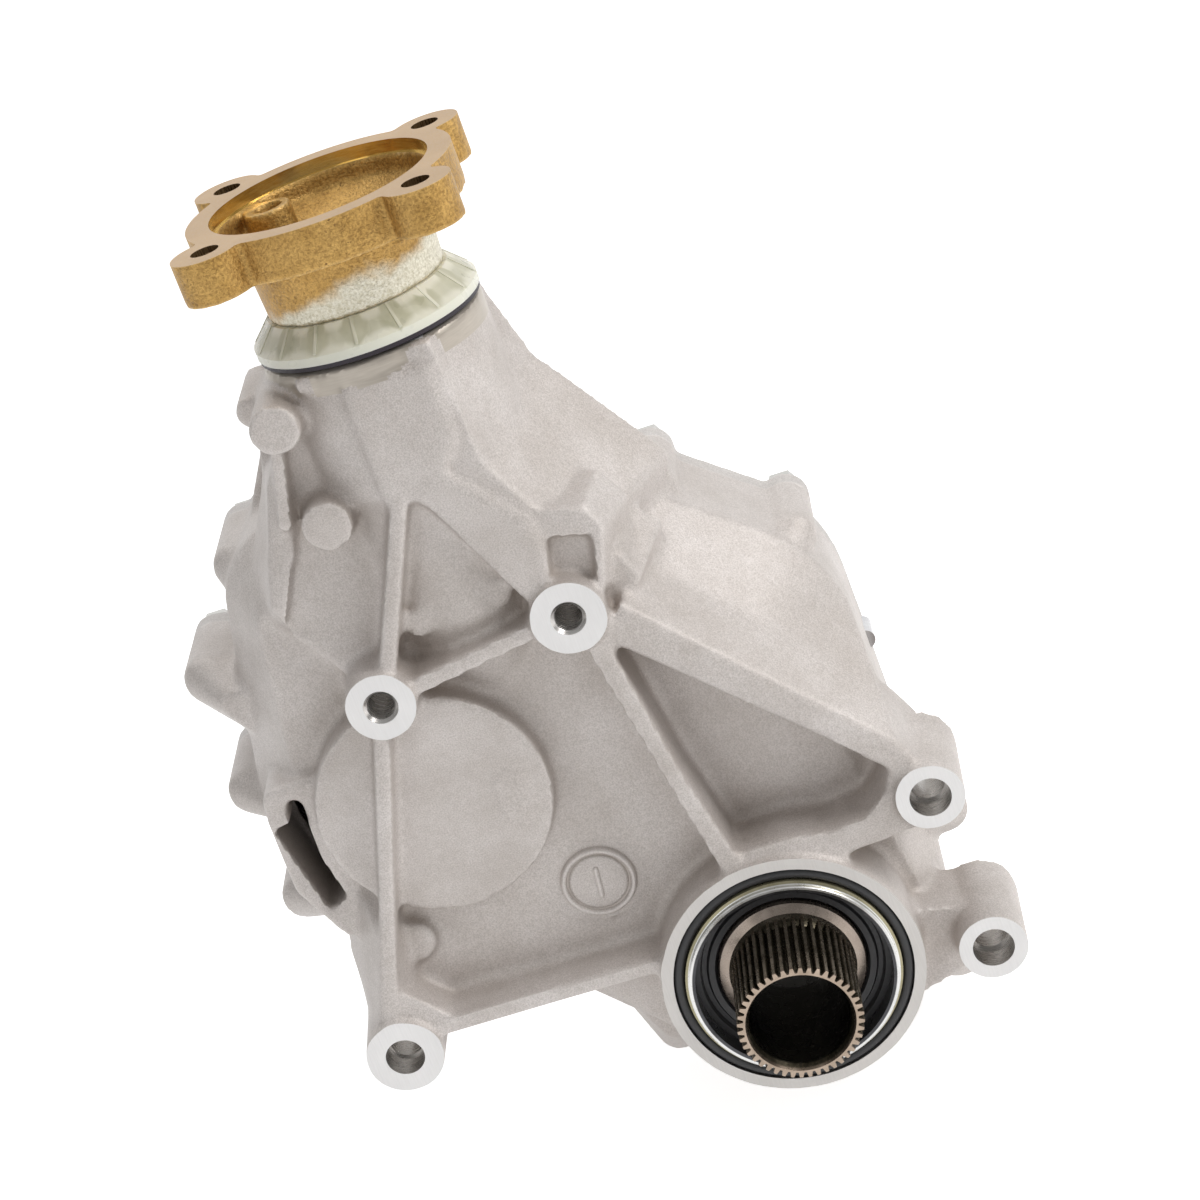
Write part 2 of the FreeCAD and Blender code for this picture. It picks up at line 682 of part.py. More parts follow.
save_bearing_y("input_rear_bearing", INPUT, input_bearing, rear_bearing_y, False)
save_bearing_y("idler_front_bearing", IDLER, idler_bearing, idler_bearing_y, True)
save_bearing_y("idler_rear_bearing", IDLER, idler_bearing, rear_bearing_y, False)
save_bearing_y("transfer_front_bearing", TRANSFER, transfer_bearing, transfer_bearing_y, True)
save_bearing_y("transfer_rear_bearing", TRANSFER, transfer_bearing, rear_bearing_y, False)
save_bearing_z("pinion_head_bearing", head_bearing, head_bearing_z, True)
save_bearing_z("pinion_tail_bearing", tail_bearing, tail_bearing_z, False)


# ---------------------------------------------------------------- casting, outside
def housing_circles():
    """Outline of the gear housing at the split, as belt circles, anticlockwise."""
    return [HOUSING[name] for name in ("input", "idler", "neck", "shoulder", "transfer")]


def housing_front_circles():
    """The same outline where the housing meets the front floors, drawn in by its taper."""
    drawn_in = {"input": input_housing_r - bore_rim_r - 5, "idler": 23.0, "neck": 8.0, "shoulder": 15.0,
                "transfer": 19.0}
    circles = []
    for name, step in drawn_in.items():
        x, z, r = HOUSING[name]
        circles.append((x, z, r - step))
    return circles


def bolt_lug(x, z, y0, y1):
    """Lug round a cover bolt, drawn out of the housing towards its middle."""
    reach = math.hypot(housing_middle[0] - x, housing_middle[1] - z)
    pull = lug_length / reach
    root = (x + (housing_middle[0] - x) * pull, z + (housing_middle[1] - z) * pull, lug_r + 7)
    return belt([(x, z, lug_r), root], y0, y1)


def lug_tail(x, z):
    """Drafted front of a lug, fading into the housing."""
    reach = math.hypot(housing_middle[0] - x, housing_middle[1] - z)
    dx, dz = (housing_middle[0] - x) / reach, (housing_middle[1] - z) / reach
    rear = [(x, z, lug_r), (x + dx * lug_length, z + dz * lug_length, lug_r + 7)]
    front = [(x + dx * 11, z + dz * 11, 4.0), (x + dx * lug_length, z + dz * lug_length, 9.0)]
    return tapered_belt(front, rear, lug_front_y - lug_draft, lug_front_y)


def outer_housing():
    pieces = [tapered_belt(housing_front_circles(), housing_circles(), body_front_y, body_full_y),
              belt(housing_circles(), body_full_y, split_y)]
    for x, z in cover_bolts_at:
        pieces += [bolt_lug(x, z, lug_front_y, split_y), lug_tail(x, z)]
    return pieces


def disc_boss():
    return [cyl_y(TRANSFER, disc_r, disc_y, body_full_y + 4),
            cone_y(TRANSFER, disc_r + 2, ring_housing_r, disc_y + 3, body_full_y)]


def slope(front, rear, y0, y1):
    """Wall whose outline changes from one x, z polygon to another along Y."""
    wires = []
    for points, y in ((front, y0), (rear, y1)):
        corners = [at(x, y, z) for x, z in points]
        wires.append(Part.makePolygon(corners + corners[:1]))
    return Part.makeLoft(wires, True, True)


def neck():
    """Turned neck top on a slimmer barrel, with the flat slab and the long facet that carry it."""
    x0, top = pinion_x, neck_top_z
    slab = prism([(x0 - 11, slab_top_z), (x0 + 20, slab_top_z), (x0 + 20, top - 36),
                  (x0 + 8, neck_foot_z + 4), (x0 - 11, neck_foot_z + 4)], rib_face_y + 1, pinion_y)
    right_facet = slope([(x0 + 16, top), (x0 + 23, top), (x0 + 26, top - 50), (x0 + 47, top - 90),
                         (x0 + 42, top - 105), (x0 + 16, top - 76)],
                        [(x0 + 10, top), (x0 + 39, top), (x0 + 49, top - 34), (x0 + 84, top - 86),
                         (x0 + 74, top - 112), (x0 + 10, top - 96)], rib_face_y + 3, body_full_y + 6)
    left_shoulder = prism([(x0 - 38, top - 22), (x0 - 12, top - 19), (x0 - 12, top - 59),
                           (x0 - 30, top - 103), (x0 - 50, top - 117), (x0 - 64, top - 95),
                           (x0 - 48, top - 49)], 20, pinion_y)
    rear_shoulder = belt([(x0, top - 57, 30), (x0 - 46, top - 36, 10), (x0 - 57, top - 87, 26)],
                         split_y - 18, split_y)
    return [
        cyl_z(x0, pinion_y, neck_r, neck_foot_z + 8, top),
        cone_z(x0, pinion_y, neck_foot_r, neck_r, neck_foot_z, neck_foot_z + 8),
        cyl_z(x0, pinion_y, neck_foot_r, head_bearing_z, neck_foot_z),
        cone_z(x0, pinion_y, neck_foot_r - 15, neck_foot_r, head_z - 22, head_bearing_z),
        slab, right_facet, left_shoulder, rear_shoulder]


def neck_trim():
    """Unmachined pads and thin ribs on the left of the neck."""
    x0, top = pinion_x, neck_top_z
    return [
        cyl_y((x0 - 38, top - 14.3), 9.2, 4, 60),
        cyl_y((x0 - 34, top - 54.2), 9.2, 6, 60),
        cyl_y((x0 - 49, top - 15), 6.5, 34, 70),
        rib((x0 - 38, top - 13), (x0 - 10, top - 15), 6, 13, 45),
        rib((x0 - 24, top - 4), (x0 - 10, top - 4), 6, 9, 45),
        rib((x0 - 41, top - 21), (x0 - 49, top - 51), 5, 12, 60),
        rib((x0 - 49, top - 51), (x0 - 62, top - 91), 5, 16, 60),
        rib((x0 - 44, top - 19), (x0 - 52, top - 47), 12, 40, split_y - 10)]


def shoulder_wall():
    """Long facet from the rib between two bosses back to the housing."""
    bx, bz = threaded_bosses["b"][:2]
    cx, cz = bored_bosses["c"][:2]
    front = [(bx + 10, bz - 15), (bx + 18, bz - 2), (cx - 4, cz + 22), (cx - 13, cz + 18)]
    rear = [(bx + 6, bz - 19), (bx + 36, bz + 8), (cx - 8, cz + 60), (cx - 9, cz + 16)]
    return slope(front, rear, rib_face_y + 0.5, body_full_y + 4)


def hollows():
    """Scoops in the walls round the upper right boss, cut before the boss is added."""
    bx, bz = threaded_bosses["b"][:2]
    patch = belt([(bx + 1, bz + 4, 11.5), (bx + 3, bz + 27, 10.5)], -1, 13)
    scoop = Part.makeCylinder(9.0, 50, at(bx + 26, -1.5, bz + 4), at(1, 0.10, -1.02))
    return [patch, scoop]


def face_ribs():
    """Ribs between the mounting bosses, all ending just behind the mounting face."""
    ax, az = threaded_bosses["a"][:2]
    bx, bz = threaded_bosses["b"][:2]
    cx, cz = bored_bosses["c"][:2]
    ex, ez = bored_bosses["e"][:2]
    x0 = pinion_x
    deep = body_front_y + 6
    leg = prism([(x0 - 2, neck_foot_z + 5), (x0 + 3, neck_foot_z - 1), (bx - 13, bz + 10), (bx - 6, bz + 2),
                 (bx + 2, bz + 10), (x0 + 34, neck_foot_z - 15), (x0 + 13, neck_foot_z + 10)],
                rib_face_y + 0.5, deep)
    return [
        leg,
        rib((x0 - 8, neck_foot_z + 2), (ax + 6, az + 10), rib_width, rib_face_y, deep),
        rib((ax, az), (bx, bz), rib_width, rib_face_y, deep),
        prism([(bx - 1, bz), (bx + 9, bz - 10), (-14, 93), (-4, 48), (-12, 46), (-21, 95)], rib_face_y, deep),
        rib((ax - 3, az - 8), (ex - 1.5, ez + 12), rib_width, rib_face_y, deep),
        prism([(ex + 1, ez + 32), (ex + 8, ez + 24), (ex + 22, ez + 9), (ex + 6, ez + 2), (ex - 2, ez + 8)],
              rib_face_y + 1, deep),
        rib((ex + 10, ez + 6), (-40, 18.5), rib_width, rib_face_y, deep + 6),
        rib((bx + 8, bz - 4), (cx - 6, cz + 14), rib_width + 1, rib_face_y, body_full_y)]


def floors():
    """Pocket floors between the ribs."""
    x0 = pinion_x
    left = prism([(-113, 150), (-93, 158), (-47, 165), (-27, 150), (-12, 52), (-30, 30), (-40, 20),
                  (-128, 20), (-147, 30), (-143, 50)], left_floor_y, left_floor_y + floor_thickness + 6)
    right = prism([(-24, 150), (-9, 46), (30, 40), (50, 48), (58, 62), (60, 84), (-14, 154)],
                  right_floor_y, right_floor_y + floor_thickness)
    crown = prism([(x0 - 2, neck_foot_z + 1), (-42, 178), (-47, 166), (-95, 160), (-99, 172),
                   (x0 - 9, neck_foot_z - 5)], crown_floor_y, body_front_y + 4)
    return [left, right, crown,
            cyl_y((x0 - 17, neck_foot_z - 43), 5.5, crown_bump_y, body_front_y),
            cyl_y((x0 + 14, neck_foot_z - 41), 5.0, crown_bump_y, body_front_y)]


def arms():
    """Walls that carry the lower mounting bosses out from the bore and the housing."""
    cx, cz = bored_bosses["c"][:2]
    dx, dz = bored_bosses["d"][:2]
    ex, ez = bored_bosses["e"][:2]
    right_arm = prism([(12, 46), (32, 40), (cx - 4, cz - 12), (cx + 7, cz), (cx - 3, cz + 20), (59, 84),
                       (58, 71), (53, 60), (44, 53), (28, 51), (10, 53)], rib_face_y + 1, body_full_y)
    low_arm = prism([(36, -34), (dx - 8, dz - 12), (dx, dz), (dx - 4, dz + 12), (46, 5)], 14, arm_depth + 2)
    left_arm = slope([(ex + 12, ez + 50), (ex + 8, ez + 50), (ex - 6, ez + 12), (ex - 14, ez), (ex, ez - 4),
                      (ex + 4, ez + 14)],
                     [(ex + 24, ez + 84), (ex - 3, ez + 78), (ex - 14, ez + 30), (ex - 16, ez - 6),
                      (ex + 12, ez - 8), (ex + 22, ez + 16)], rib_face_y + 1, arm_depth)
    slot_wall = belt([(ex - 11, ez + 104, 8), (ex - 12, ez + 70, 8), (ex - 1, ez + 52, 10),
                      (ex + 9, ez + 96, 16)], 22, 60)
    skirt = prism([(-86, 20), (-40, 20), (-30, -36), (-47, -30)], 24, body_full_y + 4)
    return [right_arm, low_arm, left_arm, slot_wall, skirt]


def boss_pieces():
    bosses = [cone_y((x, z), r, r + 1.5, 0, body_front_y + 8) for x, z, r, _ in threaded_bosses.values()]
    bosses += [cone_y((x, z), r, r + 1.5, 0, arm_depth) for x, z, r, _ in bored_bosses.values()]
    bosses.append(cyl_y(INPUT, bore_rim_r, 0, body_front_y + 22))
    return bosses


def cast_marks():
    """Plain date ring with its bar, a bare pad on the disc, and a round pad in the corner."""
    mark = (pinion_x + 8.5, 50.5)
    ring = tube_y(mark, 14.6, 12.4, left_floor_y - 3, left_floor_y + 1)
    disc = cyl_y(mark, 10.6, left_floor_y - 2, left_floor_y + 1)
    bar = rib((mark[0] - 0.5, mark[1] - 5.5), (mark[0] + 0.5, mark[1] + 5.5), 2.2, left_floor_y - 3.4,
              left_floor_y + 1)
    pad_x, pad_z = TRANSFER[0] + 29, TRANSFER[1] - 5.5
    pad = rib((pad_x, pad_z - 4.5), (pad_x, pad_z + 4.5), 11, disc_y - 0.8, disc_y + 1)
    corner_pad = cyl_y((-133, 50), 8.5, left_floor_y - 5, left_floor_y + 1)
    return [ring, disc, bar, pad, corner_pad]


# ---------------------------------------------------------------- casting, inside
def gear_room_shape():
    """Room for the spur train and ring gear, tapering to the front."""
    ring_room_r = ring_outer_r + gear_room
    rear = [(INPUT[0], INPUT[1], gear_room_r), (IDLER[0], IDLER[1], gear_room_r),
            (TRANSFER[0], TRANSFER[1], ring_room_r)]
    front = [(INPUT[0], INPUT[1], bore_rim_r - 1), (IDLER[0], IDLER[1], gear_room_r - 18),
             (TRANSFER[0], TRANSFER[1], ring_room_r - 18)]
    front_y = body_front_y + wall + 3
    full_y = body_full_y + wall - 1
    return tapered_belt(front, rear, front_y, full_y).fuse(belt(rear, full_y, split_y + 1))


def pinion_room():
    """Room for the pinion head, open to the ring gear."""
    tip = pinion_slope + hypoid_addendum_slope
    small, large = cone_inner - 5, cone_outer + 2
    head = cone_z(pinion_x, pinion_y, small * tip + gear_room, large * tip + gear_room, TRANSFER[1] + small,
                  TRANSFER[1] + large)
    return [head, cyl_z(pinion_x, pinion_y, large * tip + gear_room, TRANSFER[1] + large, head_bearing_z + 1)]


def neck_bores():
    head_cup, tail_cup = head_bearing[1], tail_bearing[1]
    return [cyl_z(pinion_x, pinion_y, head_cup, head_bearing_z, spacer_z + 0.01),
            cyl_z(pinion_x, pinion_y, head_cup - 6, spacer_z - 1, tail_bearing_z + 1),
            cyl_z(pinion_x, pinion_y, tail_cup, tail_bearing_z, neck_top_z + 1)]


def bearing_posts():
    """Bosses that hold the front bearing cups, standing in the gear room."""
    return [cyl_y(INPUT, bore_rim_r, body_front_y, input_bearing_y + input_bearing[2] + 4),
            cyl_y(IDLER, idler_bearing[1] + wall, body_front_y + 4, idler_bearing_y + idler_bearing[2]),
            cyl_y(TRANSFER, disc_r - 1, disc_y + 2, transfer_bearing_y + transfer_bearing[2] + 2)]


def shaft_bores():
    input_end = input_bearing_y + input_bearing[2]
    return [cyl_y(INPUT, retainer_r, -1, input_bearing_y - 4),
            cyl_y(INPUT, input_bearing[1], input_bearing_y - 5, input_end + 5),
            cyl_y(IDLER, idler_bearing[1], idler_bearing_y, idler_bearing_y + idler_bearing[2] + 1),
            cyl_y(IDLER, idler_bearing[0] + 3, idler_bearing_y - 3, idler_bearing_y + 1),
            cyl_y(TRANSFER, transfer_bearing[1], transfer_bearing_y, body_full_y)]


def mounting_holes():
    holes = []
    for x, z, _, hole_r in threaded_bosses.values():
        holes.append(cyl_y((x, z), hole_r, -1, threaded_depth))
        holes.append(cone_y((x, z), hole_r + 2.2, hole_r, -1, threaded_mouth))
    for x, z, _, hole_r in bored_bosses.values():
        holes.append(cyl_y((x, z), hole_r, -1, dowel_depth))
        holes.append(cyl_y((x, z), through_hole_r, -1, split_y + 1))
    return holes


def make_case():
    body = join(outer_housing() + disc_boss() + neck() + [shoulder_wall()])
    for hollow in hollows():
        body = body.cut(hollow)
    solid = join([body] + neck_trim() + face_ribs() + floors() + arms() + boss_pieces() + cast_marks())
    solid = join([solid.cut(gear_room_shape())] + bearing_posts())
    slot_x, slot_z = bored_bosses["e"][0] - 8.6, bored_bosses["e"][1] + 87
    cuts = pinion_room() + neck_bores() + shaft_bores() + mounting_holes()
    cuts += [cyl_y(place, bolt_r - 0.6, split_y - 22, split_y + 1) for place in cover_bolts_at]
    cuts += [cyl_y(place, dowel_r, split_y - 8, split_y + 1) for place in cover_dowels_at]
    cuts.append(rib((slot_x - 1, slot_z - 15), (slot_x + 1, slot_z + 15), 6, 20, 48))
    for cut in cuts:
        solid = solid.cut(cut)
    return solid


# ---------------------------------------------------------------- cover and fixed pieces
def cover_outside():
    boss_end = halfshaft_seal_y + halfshaft_seal_width + 0.5
    rear = [(INPUT[0], INPUT[1], gear_room_r), (IDLER[0], IDLER[1], gear_room_r),
            (TRANSFER[0], TRANSFER[1], gear_room_r)]
    root = [(x, z, r + 5) for x, z, r in rear]
    pieces = [belt(housing_circles(), split_y, cover_joint_y),
              tapered_belt(root, rear, cover_joint_y - 1, cover_end_y),
              cyl_y(INPUT, input_bearing[1] + wall, cover_joint_y, boss_end),
              cyl_y(IDLER, idler_bearing[1] + wall, cover_joint_y, cover_boss_end_y),
              cyl_y(TRANSFER, transfer_bearing[1] + wall, cover_joint_y, cover_boss_end_y)]
    pieces += [bolt_lug(x, z, split_y, cover_joint_y) for x, z in cover_bolts_at]
    pieces += [cyl_y(place, plug_boss_r, cover_joint_y, plug_seat_y)
               for place in (fill_plug_at, drain_plug_at)]
    pieces += [rib(start, end, 5, cover_end_y - 4, cover_end_y + 2.5)
               for start, end in ((INPUT, TRANSFER), (INPUT, IDLER), (IDLER, TRANSFER))]
    return join(pieces)


def cover_room():
    room = [(INPUT[0], INPUT[1], gear_room_r), (IDLER[0], IDLER[1], gear_room_r),
            (TRANSFER[0], TRANSFER[1], gear_room_r)]
    inner = [(x, z, r - 6) for x, z, r in room]
    straight = belt(room, split_y - 1, gear_end)
    return straight.fuse(tapered_belt(room, inner, gear_end, cover_end_y - cover_wall))


def make_cover():
    seats = ((INPUT, input_bearing), (IDLER, idler_bearing), (TRANSFER, transfer_bearing))
    posts = [cyl_y(centre, sizes[1] + wall, rear_bearing_y, cover_end_y) for centre, sizes in seats]
    posts += [cyl_y(place, plug_boss_r, plug_seat_y - plug_depth - 3, cover_end_y)
              for place in (fill_plug_at, drain_plug_at)]
    solid = join([cover_outside().cut(cover_room())] + posts)
    cuts = [cyl_y(centre, sizes[1], rear_bearing_y - 1, rear_bearing_y + sizes[2]) for centre, sizes in seats]
    cuts += [cyl_y(centre, sizes[0] + 2, rear_bearing_y, rear_bearing_y + sizes[2] + 1)
             for centre, sizes in seats]
    cuts.append(cyl_y(INPUT, input_bearing[0] + 2, rear_bearing_y,
                      halfshaft_seal_y + halfshaft_seal_width + 1))
    cuts += [cyl_y(place, bolt_r + 0.4, split_y - 1, cover_joint_y + 1) for place in cover_bolts_at]
    cuts += [cyl_y(place, head_across / 2 + 2, cover_joint_y, cover_end_y) for place in cover_bolts_at]
    cuts += [cyl_y(place, dowel_r, split_y - 1, split_y + 7) for place in cover_dowels_at]
    cuts += [cyl_y(place, plug_r, plug_seat_y - plug_depth - 4, plug_seat_y + 1)
             for place in (fill_plug_at, drain_plug_at)]
    cuts.append(cyl_y(breather_at, breather_r, cover_joint_y - 4, cover_joint_y + 1))
    for cut in cuts:
        solid = solid.cut(cut)
    return solid


def make_plug(x, z):
    plug = join([cyl_y((x, z), plug_r - fit_gap, plug_seat_y - plug_depth, plug_seat_y),
                 cyl_y((x, z), plug_head_r, plug_seat_y, plug_seat_y + 4)])
    socket = [(x + a, z + b) for a, b in hexagon(plug_socket_across)]
    return plug.cut(prism(socket, plug_seat_y - 5, plug_seat_y + 5))


def make_breather():
    base = cover_joint_y
    return join([cyl_y(breather_at, breather_r - fit_gap, base - 3.9, base),
                 cyl_y(breather_at, 5.0, base, base + 8),
                 cyl_y(breather_at, 7.5, base + 7, base + 13)])


def make_cover_bolts():
    seat = cover_joint_y + washer_height
    bolts = []
    for x, z in cover_bolts_at:
        head = prism([(x + a, z + b) for a, b in hexagon(head_across)], seat, seat + head_height)
        washer = cyl_y((x, z), head_across / 2 + 1.6, cover_joint_y, seat)
        shank = cyl_y((x, z), bolt_r - 0.65, split_y - 18, seat - 0.2)
        bolts.append(join([head, washer, shank]))
    return Part.makeCompound(bolts)


def make_cover_dowels():
    return Part.makeCompound([cyl_y(place, dowel_r - fit_gap, split_y - 7.5, split_y + 6.5)
                              for place in cover_dowels_at])


def make_input_retainer():
    """Plated ring that carries the input seal; its nose centres the mating bore."""
    back = input_bearing_y - 4
    outer = retainer_r - fit_gap
    return revolve_y([
        (input_seal_r, -2.6), (retainer_lip_r - 0.4, -3.0), (retainer_lip_r, -2.6), (retainer_lip_r, -1.0),
        (oring_seat_r, -0.4), (oring_seat_r, 4.5), (outer, 4.5), (outer, back), (input_seal_r - 2, back),
        (input_seal_r - 2, input_seal_y + 10), (input_seal_r, input_seal_y + 10)], INPUT)


def make_input_oring():
    section_r = (retainer_r - oring_seat_r) / 2 - 0.02
    middle = oring_seat_r + section_r + 0.02
    return Part.makeTorus(middle, section_r, at(INPUT[0], 4.45 - section_r, INPUT[1]), BACK)


def make_input_seal():
    y = input_seal_y
    return revolve_y([
        (input_journal_r + 0.05, y + 3.5), (input_journal_r + 1.2, y + 1.2), (input_journal_r + 3.5, y + 1.0),
        (input_journal_r + 4.3, y + 2.2), (input_journal_r + 6.0, y + 2.2), (input_journal_r + 6.8, y),
        (input_seal_r - fit_gap, y), (input_seal_r - fit_gap, y + 9.9), (input_journal_r + 2, y + 9.9),
        (input_journal_r + 0.05, y + 6.5)], INPUT)


def make_output_seal():
    outer = tail_bearing[1] - fit_gap
    low = seal_z
    return revolve_z([
        (hub_r + 0.05, low + 3.5), (hub_r + 1.5, low), (outer, low), (outer, low + seal_width),
        (hub_r + 3, low + seal_width), (hub_r + 0.05, low + 6)], pinion_x, pinion_y)


def make_halfshaft_seal():
    y = halfshaft_seal_y
    outer = input_bearing[0] + 2 - fit_gap
    return revolve_y([
        (halfshaft_r, y + 3), (halfshaft_r + 2, y), (outer, y), (outer, y + halfshaft_seal_width),
        (halfshaft_r + 2, y + halfshaft_seal_width), (halfshaft_r, y + 5)], INPUT)


save("case", make_case())
save("cover", make_cover())
save("cover_bolts", make_cover_bolts())
save("cover_dowels", make_cover_dowels())
save("input_retainer", make_input_retainer())
save("input_oring", make_input_oring())
save("input_seal", make_input_seal())
save("output_seal", make_output_seal())
save("halfshaft_seal", make_halfshaft_seal())
save("fill_plug", make_plug(*fill_plug_at))
save("drain_plug", make_plug(*drain_plug_at))
save("breather", make_breather())
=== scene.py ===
"""Looks of the transfer case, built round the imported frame. Metres, same axes as the frame."""
import bmesh
import bpy
import json
import math
from mathutils import Matrix, Vector


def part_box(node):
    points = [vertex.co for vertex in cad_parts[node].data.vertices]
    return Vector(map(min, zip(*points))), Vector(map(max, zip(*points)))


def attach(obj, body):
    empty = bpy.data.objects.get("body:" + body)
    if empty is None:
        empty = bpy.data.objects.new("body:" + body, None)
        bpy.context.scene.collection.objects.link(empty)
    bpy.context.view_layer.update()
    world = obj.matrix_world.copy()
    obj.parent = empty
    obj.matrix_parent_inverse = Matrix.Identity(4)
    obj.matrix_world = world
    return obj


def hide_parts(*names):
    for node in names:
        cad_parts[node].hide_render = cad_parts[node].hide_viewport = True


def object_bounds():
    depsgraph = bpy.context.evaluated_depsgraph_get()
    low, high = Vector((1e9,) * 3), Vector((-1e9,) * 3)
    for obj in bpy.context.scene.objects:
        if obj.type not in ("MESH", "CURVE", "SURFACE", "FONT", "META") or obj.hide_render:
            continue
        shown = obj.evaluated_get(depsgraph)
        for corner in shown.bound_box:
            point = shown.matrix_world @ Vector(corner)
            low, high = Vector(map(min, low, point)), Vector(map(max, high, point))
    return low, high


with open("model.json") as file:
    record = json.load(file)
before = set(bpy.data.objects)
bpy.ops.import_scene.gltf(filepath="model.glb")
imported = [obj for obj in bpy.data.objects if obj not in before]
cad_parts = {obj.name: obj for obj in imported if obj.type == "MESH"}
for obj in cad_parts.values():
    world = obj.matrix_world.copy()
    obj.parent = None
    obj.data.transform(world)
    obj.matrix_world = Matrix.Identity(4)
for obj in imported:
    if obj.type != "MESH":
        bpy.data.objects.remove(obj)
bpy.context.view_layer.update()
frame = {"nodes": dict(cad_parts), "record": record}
mounts = {m["name"]: m for m in frame["record"]["mounts"]}
MM = 0.001
TOUCH = 0.00005    # how near a plane a point counts as lying in it
OVERRUN = 0.0025   # how far a cut face first runs on, before it is cut back to its plane

# ---------------------------------------------------------------- camera
camera_data = bpy.data.cameras.new("camera")
camera_data.sensor_width = 36.0
camera_data.lens = 89.73
camera = bpy.data.objects.new("camera", camera_data)
bpy.context.scene.collection.objects.link(camera)
camera_right = Vector((0.94773, -0.01326, -0.31880)).normalized()
camera_back = Vector((0.11677, -0.91541, 0.38522)).normalized()
camera_up = camera_back.cross(camera_right)
turn = Matrix((camera_right, camera_up, camera_back)).transposed().to_4x4()
camera.matrix_world = Matrix.Translation((0.10305, -0.96229, 0.57327)) @ turn
bpy.context.scene.camera = camera


# ---------------------------------------------------------------- material nodes
class Painter:
    """A material under construction: adds nodes and joins them by short calls."""

    def __init__(self, name):
        self.material = bpy.data.materials.new(name)
        self.material.use_nodes = True
        self.tree = self.material.node_tree
        self.shader = self.tree.nodes["Principled BSDF"]
        self.place = self.tree.nodes.new("ShaderNodeTexCoord").outputs["Object"]

    def link(self, source, target):
        self.tree.links.new(source, target)

    def set(self, **values):
        """Constant values on the shader's own sockets."""
        for key, value in values.items():
            self.shader.inputs[key.replace("_", " ")].default_value = value

    def noise(self, size, detail=4.0, roughness=0.6, stretch=None):
        """Noise whose features are about size metres across."""
        node = self.tree.nodes.new("ShaderNodeTexNoise")
        node.inputs["Scale"].default_value = 1.0 / size
        node.inputs["Detail"].default_value = detail
        node.inputs["Roughness"].default_value = roughness
        source = self.place
        if stretch:
            mapping = self.tree.nodes.new("ShaderNodeMapping")
            mapping.inputs["Scale"].default_value = stretch
            self.link(source, mapping.inputs["Vector"])
            source = mapping.outputs["Vector"]
        self.link(source, node.inputs["Vector"])
        return node.outputs["Fac"]

    def ramp(self, factor, low, high, low_color=(0, 0, 0), high_color=(1, 1, 1)):
        """Two colours, from low to high of a factor."""
        node = self.tree.nodes.new("ShaderNodeValToRGB")
        node.color_ramp.elements[0].position = low
        node.color_ramp.elements[1].position = high
        node.color_ramp.elements[0].color = (*low_color, 1)
        node.color_ramp.elements[1].color = (*high_color, 1)
        self.link(factor, node.inputs["Fac"])
        return node.outputs["Color"]

    def span(self, factor, low, high, start=0.0, end=1.0):
        """A number from start to end as a factor goes from low to high."""
        node = self.tree.nodes.new("ShaderNodeMapRange")
        node.interpolation_type = "SMOOTHSTEP"
        for socket, value in zip(("From Min", "From Max", "To Min", "To Max"), (low, high, start, end)):
            node.inputs[socket].default_value = value
        self.link(factor, node.inputs["Value"])
        return node.outputs["Result"]

    def math(self, operation, a, b=None):
        """Arithmetic on numbers or sockets."""
        node = self.tree.nodes.new("ShaderNodeMath")
        node.operation = operation
        for socket, value in zip(node.inputs, (a, b)):
            if isinstance(value, (int, float)):
                socket.default_value = value
            elif value is not None:
                self.link(value, socket)
        return node.outputs["Value"]

    def mix(self, factor, a, b, blend="MIX"):
        """Colour a, going over to b by a factor; each is a constant or a socket."""
        node = self.tree.nodes.new("ShaderNodeMix")
        node.data_type = "RGBA"
        node.blend_type = blend
        for socket, value in ((node.inputs["Factor"], factor), (node.inputs[6], a), (node.inputs[7], b)):
            if isinstance(value, tuple):
                socket.default_value = (*value, 1)
            elif isinstance(value, (int, float)):
                socket.default_value = value
            else:
                self.link(value, socket)
        return node.outputs[2]

    def axis(self, which):
        """One coordinate of the piece's own frame, in metres."""
        node = self.tree.nodes.new("ShaderNodeSeparateXYZ")
        self.link(self.place, node.inputs["Vector"])
        return node.outputs[which]

    def radius(self, x, y, z, along):
        """Distance from a line through a point along one axis."""
        centre = self.tree.nodes.new("ShaderNodeVectorMath")
        centre.operation = "SUBTRACT"
        centre.inputs[1].default_value = (x, y, z)
        self.link(self.place, centre.inputs[0])
        flat = self.tree.nodes.new("ShaderNodeVectorMath")
        flat.operation = "MULTIPLY"
        flat.inputs[1].default_value = tuple(0.0 if axis == along else 1.0 for axis in "XYZ")
        self.link(centre.outputs["Vector"], flat.inputs[0])
        length = self.tree.nodes.new("ShaderNodeVectorMath")
        length.operation = "LENGTH"
        self.link(flat.outputs["Vector"], length.inputs[0])
        return length.outputs["Value"]

    def hollow(self):
        """Above 0.5 on convex edges, below it in creases."""
        return self.tree.nodes.new("ShaderNodeNewGeometry").outputs["Pointiness"]

    def open_share(self, distance):
        """1 in the open, falling towards 0 deep in pockets and corners."""
        node = self.tree.nodes.new("ShaderNodeAmbientOcclusion")
        node.samples = 8
        node.inputs["Distance"].default_value = distance
        return node.outputs["AO"]

    def color(self, source):
        self.link(source, self.shader.inputs["Base Color"])

    def rough(self, source):
        self.link(source, self.shader.inputs["Roughness"])

    def bump(self, height, distance, strength=1.0, under=None):
        """Fine relief, alone or on top of another bump."""
        node = self.tree.nodes.new("ShaderNodeBump")
        node.inputs["Distance"].default_value = distance
        node.inputs["Strength"].default_value = strength
        self.link(height, node.inputs["Height"])
        if under is not None:
            self.link(under, node.inputs["Normal"])
        self.link(node.outputs["Normal"], self.shader.inputs["Normal"])
        return node.outputs["Normal"]


